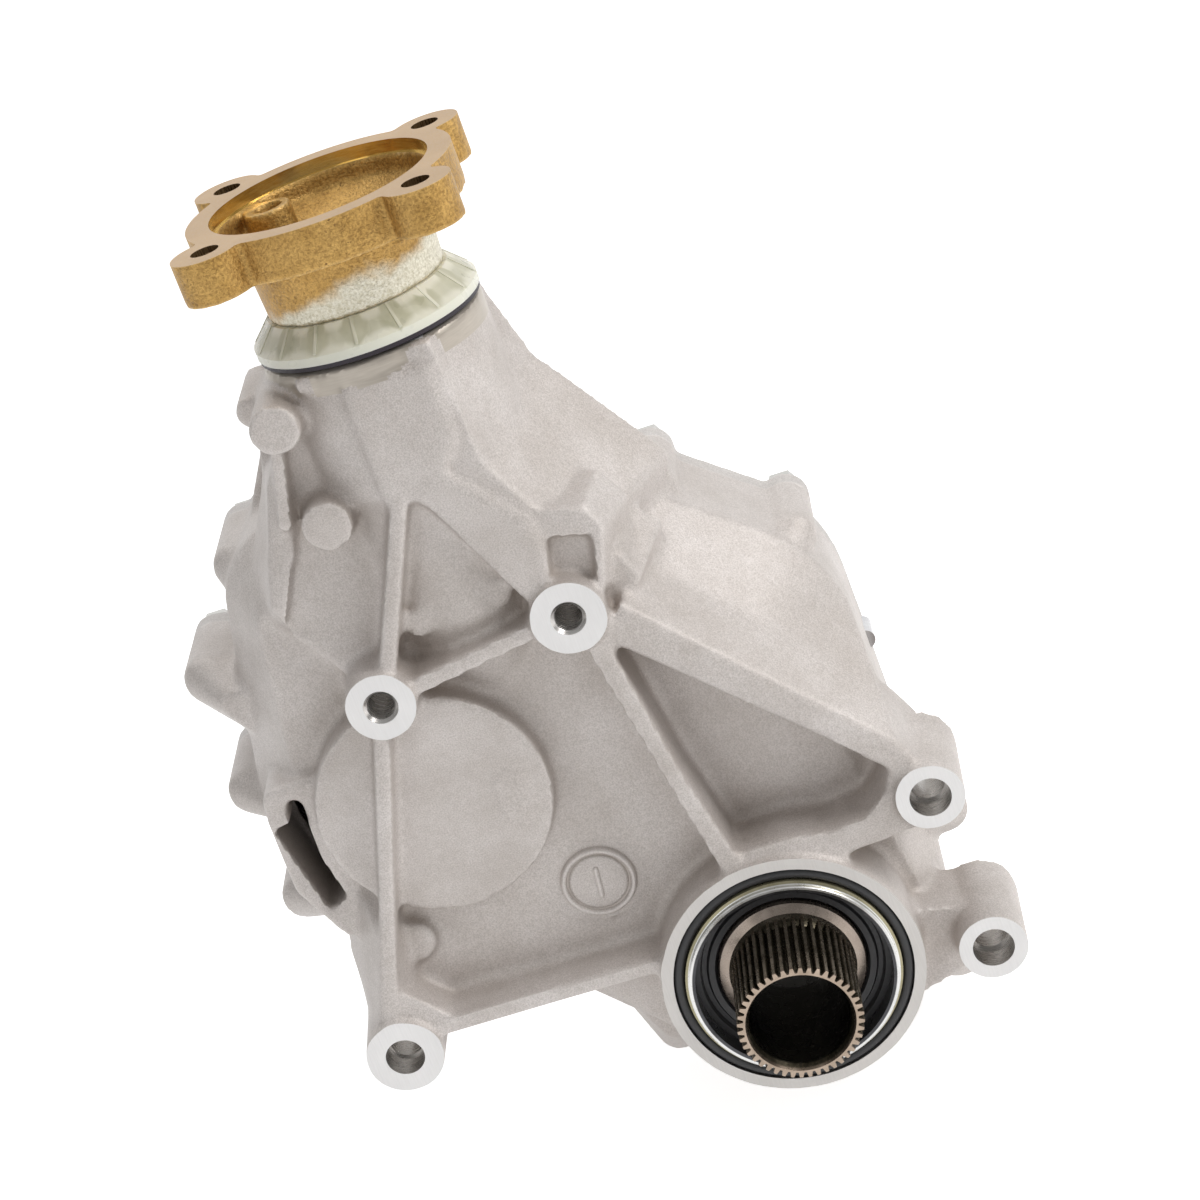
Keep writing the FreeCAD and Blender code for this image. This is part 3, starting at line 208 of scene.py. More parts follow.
def cast_aluminium(name, dark, light, grain=0.0006):
    """Blasted die-cast skin: fine grain and soft mottling, with painted highlights on convex edges and
    painted brown shade in pockets, corners and creases.
    """
    p = Painter(name)
    mottle = p.noise(0.035, 4.0, 0.6)
    fine = p.noise(grain, 2.0, 0.8)
    medium = p.noise(0.0022, 3.0, 0.6)
    body = p.ramp(mottle, 0.32, 0.68, dark, light)
    speckle = p.ramp(medium, 0.34, 0.66, (0.965, 0.96, 0.955), (1.02, 1.02, 1.02))
    body = p.mix(1.0, body, speckle, "MULTIPLY")
    body = p.mix(1.0, body, p.ramp(fine, 0.36, 0.64, (0.80, 0.79, 0.78), (1.13, 1.13, 1.14)), "MULTIPLY")
    # painted shade: deep in pockets and corners, where little of the open is seen, the colour goes over to
    # a dark brown
    painted_pocket_shade = p.span(p.open_share(0.020), 0.30, 0.90, 0.42, 0.0)
    body = p.mix(painted_pocket_shade, body, (dark[0] * 0.60, dark[1] * 0.55, dark[2] * 0.50))
    # painted highlight: convex edges are lightened towards a paler tone of the skin
    edge = p.span(p.hollow(), 0.510, 0.580)
    # painted shade: creases are darkened towards a dark brown
    crease = p.span(p.hollow(), 0.430, 0.490, 1.0, 0.0)
    body = p.mix(p.math("MULTIPLY", edge, 0.45), body, tuple(min(1.0, c * 1.25) for c in light))
    p.color(p.mix(p.math("MULTIPLY", crease, 0.5), body, (dark[0] * 0.66, dark[1] * 0.61, dark[2] * 0.56)))
    p.rough(p.span(fine, 0.3, 0.7, 0.40, 0.58))
    p.set(Metallic=0.30)
    coarse = p.bump(medium, 0.00016, 0.7)
    p.bump(fine, 0.00022, 1.0, coarse)
    return p.material


def machined_metal(name, dark, light, along, metallic=0.85, low=0.22, high=0.36):
    """Cut metal with faint tool lines round an axis or across a face."""
    p = Painter(name)
    lines = p.noise(0.0006, 2.0, 0.5, along)
    patches = p.noise(0.02, 2.0, 0.5)
    tone = p.mix(0.5, p.ramp(lines, 0.3, 0.7, dark, light), p.ramp(patches, 0.3, 0.7, dark, light))
    p.color(tone)
    p.rough(p.span(lines, 0.3, 0.7, low, high))
    p.set(Metallic=metallic)
    p.bump(lines, 0.00002, 0.4)
    return p.material


def rubber(name, tone):
    """Dull rubber or dark plastic with a fine grain."""
    p = Painter(name)
    grain = p.noise(0.0008, 3.0, 0.6)
    p.color(p.ramp(grain, 0.3, 0.7, tuple(c * 0.7 for c in tone), tone))
    p.rough(p.span(grain, 0.3, 0.7, 0.35, 0.55))
    p.bump(grain, 0.00003, 0.5)
    return p.material


# How far tool lines are squeezed along each axis: small along the lines, 1 across them.
FACED = (1, 1, 0.06)
TURNED_ROUND_Y = (0.1, 1, 0.1)
TURNED_ROUND_Z = (0.1, 0.1, 1)
THREADED = (1, 1, 0.1)
CUT_TEETH = (0.3, 1, 0.3)
PLATED = (1, 1, 1)

case_cast = cast_aluminium("case_cast", (0.570, 0.527, 0.495), (0.690, 0.650, 0.625))
cover_cast = cast_aluminium("cover_cast", (0.55, 0.520, 0.495), (0.67, 0.645, 0.625))
face_cut = machined_metal("face_cut", (0.80, 0.79, 0.785), (0.90, 0.89, 0.885), FACED, 0.2, 0.34, 0.46)
rim_cut = machined_metal("rim_cut", (0.66, 0.635, 0.61), (0.76, 0.735, 0.71), FACED, 0.2, 0.36, 0.48)
neck_turned = machined_metal("neck_turned", (0.43, 0.385, 0.330), (0.56, 0.510, 0.445),
                             TURNED_ROUND_Z, 0.4, 0.30, 0.42)
bore_cut = machined_metal("bore_cut", (0.42, 0.40, 0.38), (0.66, 0.64, 0.62), TURNED_ROUND_Y, 0.9)
gear_steel = machined_metal("gear_steel", (0.36, 0.35, 0.34), (0.52, 0.51, 0.50), CUT_TEETH)
bearing_steel = machined_metal("bearing_steel", (0.50, 0.50, 0.51), (0.68, 0.68, 0.69),
                               TURNED_ROUND_Y, 0.95, 0.12, 0.2)
bolt_zinc = machined_metal("bolt_zinc", (0.50, 0.50, 0.48), (0.66, 0.65, 0.62), PLATED, 0.9, 0.3, 0.45)
plug_steel = machined_metal("plug_steel", (0.40, 0.40, 0.40), (0.56, 0.56, 0.55), PLATED, 0.9, 0.3, 0.45)
breather_brass = machined_metal("breather_brass", (0.50, 0.37, 0.16), (0.70, 0.54, 0.26), PLATED, 0.9)
seal_rubber = rubber("seal_rubber", (0.035, 0.035, 0.038))
ring_rubber = rubber("ring_rubber", (0.030, 0.030, 0.032))
deflector_dark = rubber("deflector_dark", (0.016, 0.009, 0.018))


def flange_material():
    """Yellow-plated casting: gold grain with dark pores, whitish bare patches low on the collar."""
    p = Painter("flange_gold")
    mottle = p.noise(0.010, 4.0, 0.6)
    fine = p.noise(0.0011, 2.0, 0.75)
    pits = p.noise(0.0024, 3.0, 0.7)
    gold = p.ramp(mottle, 0.30, 0.72, (0.42, 0.250, 0.070), (0.60, 0.385, 0.130))
    gold = p.mix(1.0, gold, p.ramp(fine, 0.36, 0.64, (0.66, 0.61, 0.54), (1.18, 1.17, 1.13)), "MULTIPLY")
    gold = p.mix(p.span(pits, 0.28, 0.36, 1.0, 0.0), gold, (0.20, 0.11, 0.035))
    side = p.math("ADD", p.axis("X"), p.math("MULTIPLY", p.axis("Y"), -0.6))
    reach = p.span(side, -0.130, -0.060, 0.2925, 0.3040)
    wave = p.math("MULTIPLY", p.math("SUBTRACT", p.noise(0.016, 3.0, 0.6), 0.5), 0.014)
    height = p.math("SUBTRACT", p.math("ADD", reach, wave), p.axis("Z"))
    bare = p.span(height, -0.0015, 0.0045)
    color = p.mix(bare, gold, p.ramp(fine, 0.34, 0.66, (0.52, 0.48, 0.36), (0.86, 0.83, 0.72)))
    # painted highlight: convex edges are lightened to a bright gold
    edge = p.span(p.hollow(), 0.515, 0.58)
    p.color(p.mix(p.math("MULTIPLY", edge, 0.6), color, (0.86, 0.64, 0.31)))
    p.rough(p.span(fine, 0.3, 0.7, 0.34, 0.54))
    p.set(Metallic=0.65)
    coarse = p.bump(pits, 0.00040, 0.8)
    p.bump(fine, 0.00035, 1.0, coarse)
    return p.material


def dust_ring_material():
    """Milky plastic, slightly translucent, faintly green."""
    p = Painter("dust_ring_plastic")
    cloud = p.noise(0.010, 3.0, 0.5)
    tone = p.ramp(cloud, 0.3, 0.7, (0.47, 0.475, 0.35), (0.62, 0.62, 0.49))
    # painted highlight: convex edges and vanes are lightened to a pale cream
    edge = p.span(p.hollow(), 0.505, 0.56)
    p.color(p.mix(edge, tone, (0.80, 0.80, 0.69)))
    p.rough(p.span(cloud, 0.3, 0.7, 0.26, 0.38))
    p.set(Subsurface_Weight=0.35, Subsurface_Scale=0.003, Subsurface_Radius=(1.0, 1.0, 0.8))
    p.bump(p.noise(0.002, 2.0, 0.5), 0.00004, 0.4)
    return p.material


def shaft_material():
    """Dark oiled spline with a bronze end face, a bore painted near black as painted shade, and a
    grey-bronze ground sleeve.
    """
    p = Painter("spline_oiled")
    y = p.axis("Y")
    radius = p.radius(0, 0, 0, "Y")
    streak = p.noise(0.0009, 2.0, 0.5, (1, 0.05, 1))
    cloud = p.noise(0.006, 3.0, 0.6)
    spline = p.ramp(streak, 0.3, 0.75, (0.060, 0.052, 0.036), (0.150, 0.130, 0.090))
    land = p.ramp(cloud, 0.3, 0.7, (0.30, 0.255, 0.190), (0.46, 0.400, 0.320))
    spline = p.mix(p.span(radius, 0.0225, 0.0231), spline, land)
    bronze = p.ramp(cloud, 0.3, 0.7, (0.28, 0.220, 0.170), (0.40, 0.320, 0.255))
    sleeve = p.ramp(cloud, 0.3, 0.7, (0.26, 0.215, 0.180), (0.38, 0.320, 0.275))
    # painted shade: the inside of the bore is near black, for the shade deep in the hollow shaft
    bore = p.ramp(cloud, 0.3, 0.7, (0.018, 0.017, 0.012), (0.038, 0.035, 0.026))
    color = p.mix(p.span(y, -0.0326, -0.0318, 1.0, 0.0), spline, bronze)
    color = p.mix(p.span(y, 0.0040, 0.0050), color, sleeve)
    p.color(p.mix(p.span(radius, 0.0187, 0.0189, 1.0, 0.0), color, bore))
    p.rough(p.span(cloud, 0.3, 0.7, 0.20, 0.32))
    p.set(Metallic=0.9)
    p.bump(streak, 0.00001, 0.4)
    return p.material


def retainer_material():
    """Plated ring: olive-gold band outside, bright lip, dark inside."""
    p = Painter("retainer_plated")
    radius = p.radius(0, 0, 0, "Y")
    cloud = p.noise(0.008, 3.0, 0.6)
    gold = p.ramp(cloud, 0.3, 0.7, (0.26, 0.235, 0.145), (0.36, 0.330, 0.220))
    bright = p.ramp(cloud, 0.3, 0.7, (0.66, 0.66, 0.65), (0.80, 0.80, 0.79))
    dark = p.ramp(cloud, 0.3, 0.7, (0.045, 0.045, 0.048), (0.085, 0.085, 0.092))
    lip = p.span(radius, 0.0395, 0.0398, 1.0, 0.0)
    inside = p.span(radius, 0.0380, 0.0383, 1.0, 0.0)
    p.color(p.mix(inside, p.mix(lip, gold, bright), dark))
    p.rough(p.span(cloud, 0.3, 0.7, 0.24, 0.36))
    p.set(Metallic=0.75)
    p.bump(p.noise(0.0010, 2.0, 0.5), 0.00001, 0.4)
    return p.material


flange_gold = flange_material()
flange_cut = machined_metal("flange_cut", (0.40, 0.255, 0.120), (0.52, 0.350, 0.180),
                            PLATED, 0.5, 0.32, 0.44)
flange_thread = machined_metal("flange_thread", (0.11, 0.065, 0.028), (0.24, 0.150, 0.070),
                               THREADED, 0.7, 0.24, 0.36)
pilot_cut = machined_metal("pilot_cut", (0.60, 0.42, 0.13), (0.84, 0.65, 0.28),
                           TURNED_ROUND_Z, 0.95, 0.14, 0.24)
dust_plastic = dust_ring_material()
spline_oiled = shaft_material()
retainer_plated = retainer_material()


# ---------------------------------------------------------------- mesh helpers
def new_object(name, mesh):
    piece = bpy.data.objects.new(name, mesh)
    bpy.context.scene.collection.objects.link(piece)
    return piece


def mesh_from(name, build):
    """Object whose mesh is filled in by a function of a bmesh."""
    bm = bmesh.new()
    build(bm)
    mesh = bpy.data.meshes.new(name)
    bm.to_mesh(mesh)
    bm.free()
    return new_object(name, mesh)


def add_cylinder(bm, start, end, radius, end_radius=None, sides=64):
    """Closed cylinder or cone between two points."""
    start, end = Vector(start), Vector(end)
    direction = end - start
    pose = Matrix.Translation((start + end) / 2) @ direction.to_track_quat("Z", "Y").to_matrix().to_4x4()
    if end_radius is None:
        end_radius = radius
    bmesh.ops.create_cone(bm, cap_ends=True, segments=sides, radius1=radius, radius2=end_radius,
                          depth=direction.length, matrix=pose)


def wrap(bm, points):
    """Convex skin round some points, without those that end up inside it."""
    result = bmesh.ops.convex_hull(bm, input=points)
    spare = result["geom_interior"] + result["geom_unused"]
    inner = {item for item in spare if isinstance(item, bmesh.types.BMVert)}
    bmesh.ops.delete(bm, geom=list(inner), context="VERTS")


def add_hull(bm, circles, sides=48):
    """Convex solid round circles given as x, y, z, radius, each in a plane across Y."""
    points = []
    for x, y, z, radius in circles:
        for i in range(sides):
            angle = 2 * math.pi * i / sides
            points.append(bm.verts.new((x + radius * math.cos(angle), y, z + radius * math.sin(angle))))
    wrap(bm, points)


def add_prism(bm, outline, y0, y1, far=None):
    """Closed solid between two like outlines of x, z points, in planes across Y."""
    front = [bm.verts.new((x, y0, z)) for x, z in outline]
    back = [bm.verts.new((x, y1, z)) for x, z in (far or outline)]
    faces = [bm.faces.new(front), bm.faces.new(back[::-1])]
    for i in range(len(front)):
        j = (i + 1) % len(front)
        faces.append(bm.faces.new((front[i], back[i], back[j], front[j])))
    bmesh.ops.recalc_face_normals(bm, faces=faces)


def add_capsule(bm, start, end, radius):
    """Closed rod with round ends, alone in its mesh."""
    for centre in (start, end):
        bmesh.ops.create_icosphere(bm, subdivisions=3, radius=radius, matrix=Matrix.Translation(centre))
    wrap(bm, bm.verts[:])


def apply_modifiers(piece):
    """Replaces a piece's mesh by its evaluated one."""
    graph = bpy.context.evaluated_depsgraph_get()
    mesh = bpy.data.meshes.new_from_object(piece.evaluated_get(graph))
    piece.modifiers.clear()
    piece.data = mesh


def boolean(piece, cutter, operation="DIFFERENCE"):
    """Cuts a closed solid out of a piece, or joins it to the piece, and drops the cutter."""
    modifier = piece.modifiers.new("cut", "BOOLEAN")
    modifier.operation = operation
    modifier.solver = "MANIFOLD"
    modifier.object = cutter
    apply_modifiers(piece)
    bpy.data.objects.remove(cutter)


def keep_largest(piece):
    """Drops every loose part of a mesh but the largest."""
    bm = bmesh.new()
    bm.from_mesh(piece.data)
    seen = set()
    largest = []
    for seed in bm.verts:
        if seed in seen:
            continue
        part, stack = [], [seed]
        seen.add(seed)
        while stack:
            vert = stack.pop()
            part.append(vert)
            for edge in vert.link_edges:
                other = edge.other_vert(vert)
                if other not in seen:
                    seen.add(other)
                    stack.append(other)
        if len(part) > len(largest):
            largest = part
    kept = set(largest)
    bmesh.ops.delete(bm, geom=[v for v in bm.verts if v not in kept], context="VERTS")
    bm.to_mesh(piece.data)
    bm.free()


def remesh(piece, voxel):
    """Rebuilds a piece as one even skin of small faces."""
    modifier = piece.modifiers.new("remesh", "REMESH")
    modifier.mode = "VOXEL"
    modifier.voxel_size = voxel
    apply_modifiers(piece)


def soften(name, node, fill, voxel, rounds, extend, carve=None):
    """Cast copy of a CAD node: holes filled, forms carved, inside dropped, edges and corners rounded."""
    piece = new_object(name, frame["nodes"][node].data.copy())
    for vert in piece.data.vertices:
        vert.co = extend(vert.co)
    bm = bmesh.new()
    bm.from_mesh(piece.data)
    fill(bm)
    bm.to_mesh(piece.data)
    bm.free()
    remesh(piece, voxel)
    keep_largest(piece)
    if carve:
        for cutter, operation in carve():
            boolean(piece, cutter, operation)
        remesh(piece, voxel)
    smooth = piece.modifiers.new("smooth", "SMOOTH")
    smooth.factor = 0.5
    smooth.iterations = rounds
    apply_modifiers(piece)
    return piece


def slab_cutter(axis, position, towards):
    """Large block that removes everything beyond a plane across an axis."""
    def build(bm):
        size = 2.0
        middle = Vector((0, 0, 0))
        middle["XYZ".index(axis)] = position + towards * size / 2
        bmesh.ops.create_cube(bm, size=size, matrix=Matrix.Translation(middle))
    return mesh_from("slab", build)


def finish_mesh(piece, materials, choose, angle=32):
    """Materials by face, smooth shading and sharp machined edges."""
    piece.data.materials.clear()
    for material in materials:
        piece.data.materials.append(material)
    for face in piece.data.polygons:
        face.material_index = choose(face.center, face.normal)
    piece.data.shade_smooth()
    piece.data.set_sharp_from_angle(angle=math.radians(angle))


def place(piece, body, slot, *nodes):
    """Attaches a piece to its body and hides the CAD nodes that it stands for; the slot is not used."""
    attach(piece, body)
    if nodes:
        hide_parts(*nodes)


# ---------------------------------------------------------------- casting
case_low, case_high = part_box("case")
split_y = case_high.y
neck_top = case_high.z
retainer_low, retainer_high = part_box("input_retainer")
retainer_r = (retainer_high.x - retainer_low.x) / 2
flange_low, flange_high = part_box("output_flange")
output_x = (flange_low.x + flange_high.x) / 2
output_y = (flange_low.y + flange_high.y) / 2
tail_low, tail_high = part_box("pinion_tail_bearing_cup")
tail_r = (tail_high.x - tail_low.x) / 2
deflector_low, deflector_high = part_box("deflector_ring")
turned_r = (deflector_high.x - deflector_low.x) / 2 + 0.0003
seal_low, seal_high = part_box("halfshaft_seal")
seal_r = (seal_high.x - seal_low.x) / 2
cover_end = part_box("cover")[1].y
ROUND_HOLES = [m for m in mounts.values() if m["name"].startswith(("boss_hole", "dowel_bore"))]
PLUG_DEPTH = 0.045
PLUG_GROWTH = 0.001
RIM_R = 0.053
TURNED_HEIGHT = 0.0083
BOLT_CLEARANCE_R = 0.0066

# the date ring: its radius, its centre and the floor that it stands on
MARK_R = 0.0146
mark_x = output_x + 0.0085
mark_z = 0.0505
mark_floor = 0.0219


def from_boss(letter, *steps):
    """Points given in millimetres along X and Z from one of the tapped bosses."""
    x, _, z = mounts["boss_hole_" + letter]["pos_m"]
    return [(x + dx * MM, z + dz * MM) for dx, dz in steps]


def room_circles(grow):
    """Circles round the gear room at the split, from the gears' own boxes."""
    circles = []
    for node in ("input_gear", "idler_gear", "transfer_gear", "ring_gear"):
        low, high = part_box(node)
        radius = (high.x - low.x) / 2 + 0.002 + grow
        circles.append(((low.x + high.x) / 2, (low.z + high.z) / 2, radius))
    return circles


def fill_case(bm):
    """Plugs that close every opening of the casting before its skin is softened."""
    for m in ROUND_HOLES:
        x, _, z = m["pos_m"]
        radius = m["dims"]["r_mm"] * MM + PLUG_GROWTH
        add_cylinder(bm, (x, -OVERRUN, z), (x, case_low.y + PLUG_DEPTH, z), radius)
    add_cylinder(bm, (0, -OVERRUN, 0), (0, 0.040, 0), retainer_r + PLUG_GROWTH)
    seat = Vector((output_x, output_y, neck_top))
    add_cylinder(bm, seat - Vector((0, 0, 0.04)), seat, tail_r + PLUG_GROWTH)
    add_hull(bm, [(x, y, z, r) for y in (split_y - 0.006, split_y) for x, z, r in room_circles(0.003)])
    # the walls of the recess over boss b, and the ground to the right of it
    add_prism(bm, from_boss("b", (-5, 8), (15, 4), (22, 27), (18, 36), (-3, 42)), 0.0055, 0.030,
              from_boss("b", (-5, 8), (26, 2), (32, 27), (25, 40), (-3, 42)))
    add_prism(bm, from_boss("b", (6, -12), (22, -8), (28, 2), (24, 12), (8, 12)), 0.0120, 0.040,
              from_boss("b", (4, -12), (36, -4), (40, 10), (28, 22), (6, 16)))
    # the long rib from boss b down to the right
    add_prism(bm, from_boss("b", (10, -15), (18, -2), (97, -88), (88, -92)), 0.0032, 0.0160,
              from_boss("b", (10, -16), (21, 0), (97, -81), (88, -92)))
    # the bridge between the right pocket and the input ring
    add_prism(bm, from_boss("b", (22, -119), (24, -112), (46, -111), (63, -114), (62, -123), (43, -121)),
              0.0040, 0.028)
    # the wall left of the neck, which runs down in an S
    add_prism(bm, from_boss("a", (-2, 104), (-7, 70), (-20, 47), (-24, 36), (-27, 42), (-22, 58),
                            (-12, 86)), 0.0170, 0.048,
              from_boss("a", (-1, 104), (-5, 70), (-22, 40), (-32, 14), (-42, 20), (-34, 52), (-16, 86)))


def carve_case():
    """Cutters for the recess, rib end, core slot and date ring's seat, and the boss that is set back in."""
    yield mesh_from("recess", lambda bm: add_prism(
        bm, from_boss("b", (-5, 0), (12, 0), (18, 26), (1, 31)), -0.004, 0.0100,
        from_boss("b", (-4, 0), (11.5, 0), (17, 25), (2, 29)))), "DIFFERENCE"
    yield mesh_from("rib_end", lambda bm: add_prism(
        bm, from_boss("a", (-15, 62), (-3, 62), (-13, 22), (-33, 22)), -0.001, 0.0210,
        from_boss("a", (-13, 56), (-6, 56), (-17, 27), (-28, 27)))), "DIFFERENCE"
    yield mesh_from("slot", lambda bm: add_prism(
        bm, from_boss("a", (-60, -45), (-51, -43), (-44, -80), (-52, -83)), 0.012, 0.052)), "DIFFERENCE"
    yield mesh_from("seat", lambda bm: add_cylinder(
        bm, (mark_x, 0.0, mark_z), (mark_x, mark_floor, mark_z), MARK_R + 0.0008)), "DIFFERENCE"
    (x, z), = from_boss("b", (0, 0))
    yield mesh_from("boss", lambda bm: add_cylinder(
        bm, (x, -OVERRUN, z), (x, 0.030, z), 0.0136, 0.0150)), "UNION"


def extend_case(point):
    """Bosses and the joint run on past their faces, so that the cut faces stay crisp."""
    if point.y < TOUCH:
        return Vector((point.x, -OVERRUN, point.z))
    if point.y > split_y - TOUCH:
        return Vector((point.x, split_y + OVERRUN, point.z))
    return point


def hole_cutters():
    """Cutters for the machined bores of the casting, one closed solid each."""
    for m in ROUND_HOLES:
        x, _, z = m["pos_m"]
        radius = m["dims"]["r_mm"] * MM
        depth = m["dims"]["length_mm"] * MM
        if m["kind"] == "bore":
            yield (x, -0.001, z), (x, depth, z), radius, radius
            yield (x, depth - 0.001, z), (x, split_y - 0.012, z), BOLT_CLEARANCE_R, BOLT_CLEARANCE_R
        else:
            yield (x, -0.001, z), (x, depth, z), radius, radius
            yield (x, -0.0005, z), (x, 0.0012, z), radius + 0.0018, radius
    yield (0, -0.001, 0), (0, retainer_high.y + 0.0001, 0), retainer_r + 0.00005, retainer_r + 0.00005
    seat = Vector((output_x, output_y, neck_top))
    yield seat - Vector((0, 0, 0.03)), seat + Vector((0, 0, 0.001)), tail_r, tail_r


def case_surface(centre, normal):
    """Which material a face of the casting takes: 0 cast, 1 cut face, 2 cut bore, 3 rim, 4 turned neck."""
    if centre.y < TOUCH and normal.y < -0.9:
        return 3 if math.hypot(centre.x, centre.z) < RIM_R else 1
    if centre.z > neck_top - TOUCH and normal.z > 0.9:
        return 1
    neck_span = math.hypot(centre.x - output_x, centre.y - output_y)
    if centre.z > neck_top - TURNED_HEIGHT and neck_span < turned_r:
        return 4
    for start, end, radius, _ in bores:
        axis = "Y" if abs(end[1] - start[1]) > 0.0001 else "Z"
        across = [i for i in range(3) if "XYZ"[i] != axis]
        span = math.hypot(*(centre[i] - start[i] for i in across))
        along = "XYZ".index(axis)
        if span < radius + 0.00025 and start[along] < centre[along] < end[along] + 0.0002:
            return 2
    return 0


case_skin = soften("case_skin", "case", fill_case, 0.0014, 4, extend_case, carve_case)
boolean(case_skin, slab_cutter("Y", 0.0, -1))
boolean(case_skin, slab_cutter("Y", split_y, 1))
bores = list(hole_cutters())
for start, end, r0, r1 in bores:
    boolean(case_skin, mesh_from("bore", lambda bm: add_cylinder(bm, start, end, r0, r1, 96)))
finish_mesh(case_skin, [case_cast, face_cut, bore_cut, rim_cut, neck_turned], case_surface)
place(case_skin, "housing", "cast_aluminium", "case")


def build_mark(bm):
    """Plain date ring turned about Y: rounded rim, groove and low disc."""
    # radius in metres, and rise from its floor in millimetres
    rim = [(MARK_R, 0.4), (0.0143, -1.2), (0.0138, -2.1), (0.0131, -2.3), (0.0124, -2.0), (0.0120, -0.9),
           (0.0113, -0.7), (0.0108, -1.2), (0.0102, -1.5), (0.0050, -1.6), (0.0, -1.6)]
    sides = 72
    rows = []
    for radius, rise in rim:
        y = mark_floor + rise * MM
        if radius == 0.0:
            rows.append([bm.verts.new((mark_x, y, mark_z))])
            continue
        angles = [2 * math.pi * i / sides for i in range(sides)]
        rows.append([bm.verts.new((mark_x + radius * math.cos(a), y, mark_z + radius * math.sin(a)))
                     for a in angles])
    for outer, inner in zip(rows, rows[1:]):
        for i in range(sides):
            j = (i + 1) % sides
            if len(inner) == 1:
                bm.faces.new((outer[i], outer[j], inner[0]))
            else:
                bm.faces.new((outer[i], outer[j], inner[j], inner[i]))
    bm.faces.new(rows[0])
    bmesh.ops.recalc_face_normals(bm, faces=bm.faces)


date_ring = mesh_from("date_ring", build_mark)
finish_mesh(date_ring, [case_cast], lambda c, n: 0, 50)
place(date_ring, "housing", "cast_aluminium")
bar_centre = Vector((mark_x, mark_floor - 0.0014, mark_z))
bar_half = Vector((0.0006, 0.0, 0.0056))
date_bar = mesh_from("date_ring_bar", lambda bm: add_capsule(
    bm, bar_centre - bar_half, bar_centre + bar_half, 0.0011))
finish_mesh(date_bar, [case_cast], lambda c, n: 0, 60)
place(date_bar, "housing", "cast_aluminium")

# ---------------------------------------------------------------- cover
def extend_cover(point):
    """The joint face runs on forward, to be cut flat again."""
    return Vector((point.x, split_y - OVERRUN, point.z)) if point.y < split_y + TOUCH else point


def fill_cover(bm):
    """Plugs for the cover's room and its openings."""
    add_hull(bm, [(x, y, z, r) for y in (split_y - OVERRUN, split_y + 0.012)
                  for x, z, r in room_circles(0.003)])
    add_cylinder(bm, (0, split_y, 0), (0, cover_end, 0), seal_r + PLUG_GROWTH)


cover_skin = soften("cover_skin", "cover", fill_cover, 0.0015, 5, extend_cover)
boolean(cover_skin, slab_cutter("Y", split_y, -1))
boolean(cover_skin, mesh_from("bore", lambda bm: add_cylinder(
    bm, (0, seal_low.y - 0.02, 0), (0, cover_end + 0.001, 0), seal_r, None, 96)))
finish_mesh(cover_skin, [cover_cast], lambda c, n: 0)
place(cover_skin, "housing", "cover_aluminium", "cover")

# ---------------------------------------------------------------- output flange
flange_mount = mounts["output_bolts"]
pilot = mounts["output_pilot"]
flange_top = flange_high.z
pilot_r = pilot["dims"]["r_mm"] * MM
pilot_floor = flange_top - pilot["dims"]["length_mm"] * MM
ear_reach = flange_mount["dims"]["pcd_mm"] * MM / 2
ear_hole_r = flange_mount["dims"]["hole_r_mm"] * MM
ear_turns = [math.radians(degrees) for degrees in (45, 135, 225, 315)]
EARS = [(output_x + ear_reach * math.cos(a), output_y + ear_reach * math.sin(a)) for a in ear_turns]


def fill_flange(bm):
    """Plugs for the four ear holes."""
    for x, y in EARS:
        add_cylinder(bm, (x, y, flange_top - 0.016), (x, y, flange_top + OVERRUN), ear_hole_r + PLUG_GROWTH)


def extend_flange(point):
    """The top face runs on upwards, to be cut flat again."""
    return Vector((point.x, point.y, flange_top + OVERRUN)) if point.z > flange_top - TOUCH else point


flange_skin = soften("flange_skin", "output_flange", fill_flange, 0.0010, 6, extend_flange)
boolean(flange_skin, slab_cutter("Z", flange_top, 1))
for x, y in EARS:
    boolean(flange_skin, mesh_from("hole", lambda bm: add_cylinder(
        bm, (x, y, flange_top - 0.03), (x, y, flange_top + 0.001), ear_hole_r)))
boolean(flange_skin, mesh_from("pilot", lambda bm: add_cylinder(
    bm, (output_x, output_y, pilot_floor), (output_x, output_y, flange_top + 0.001), pilot_r, None, 160)))


def flange_surface(centre, normal):
    """Which material a face of the flange takes: 0 plated skin, 1 cut top, 2 pilot step, 3 ear hole."""
    span = math.hypot(centre.x - output_x, centre.y - output_y)
    if normal.z > 0.9 and centre.z > flange_top - TOUCH:
        return 1
    if abs(span - pilot_r) < 0.0004 and centre.z > pilot_floor - 0.0001:
        return 2
    if normal.z > 0.9 and abs(centre.z - pilot_floor) < TOUCH:
        return 2
    if min(math.hypot(centre.x - x, centre.y - y) for x, y in EARS) < ear_hole_r + 0.0003:
        return 3
    return 0


finish_mesh(flange_skin, [flange_gold, flange_cut, pilot_cut, flange_thread], flange_surface)
place(flange_skin, "output_group", "flange_gold", "output_flange")


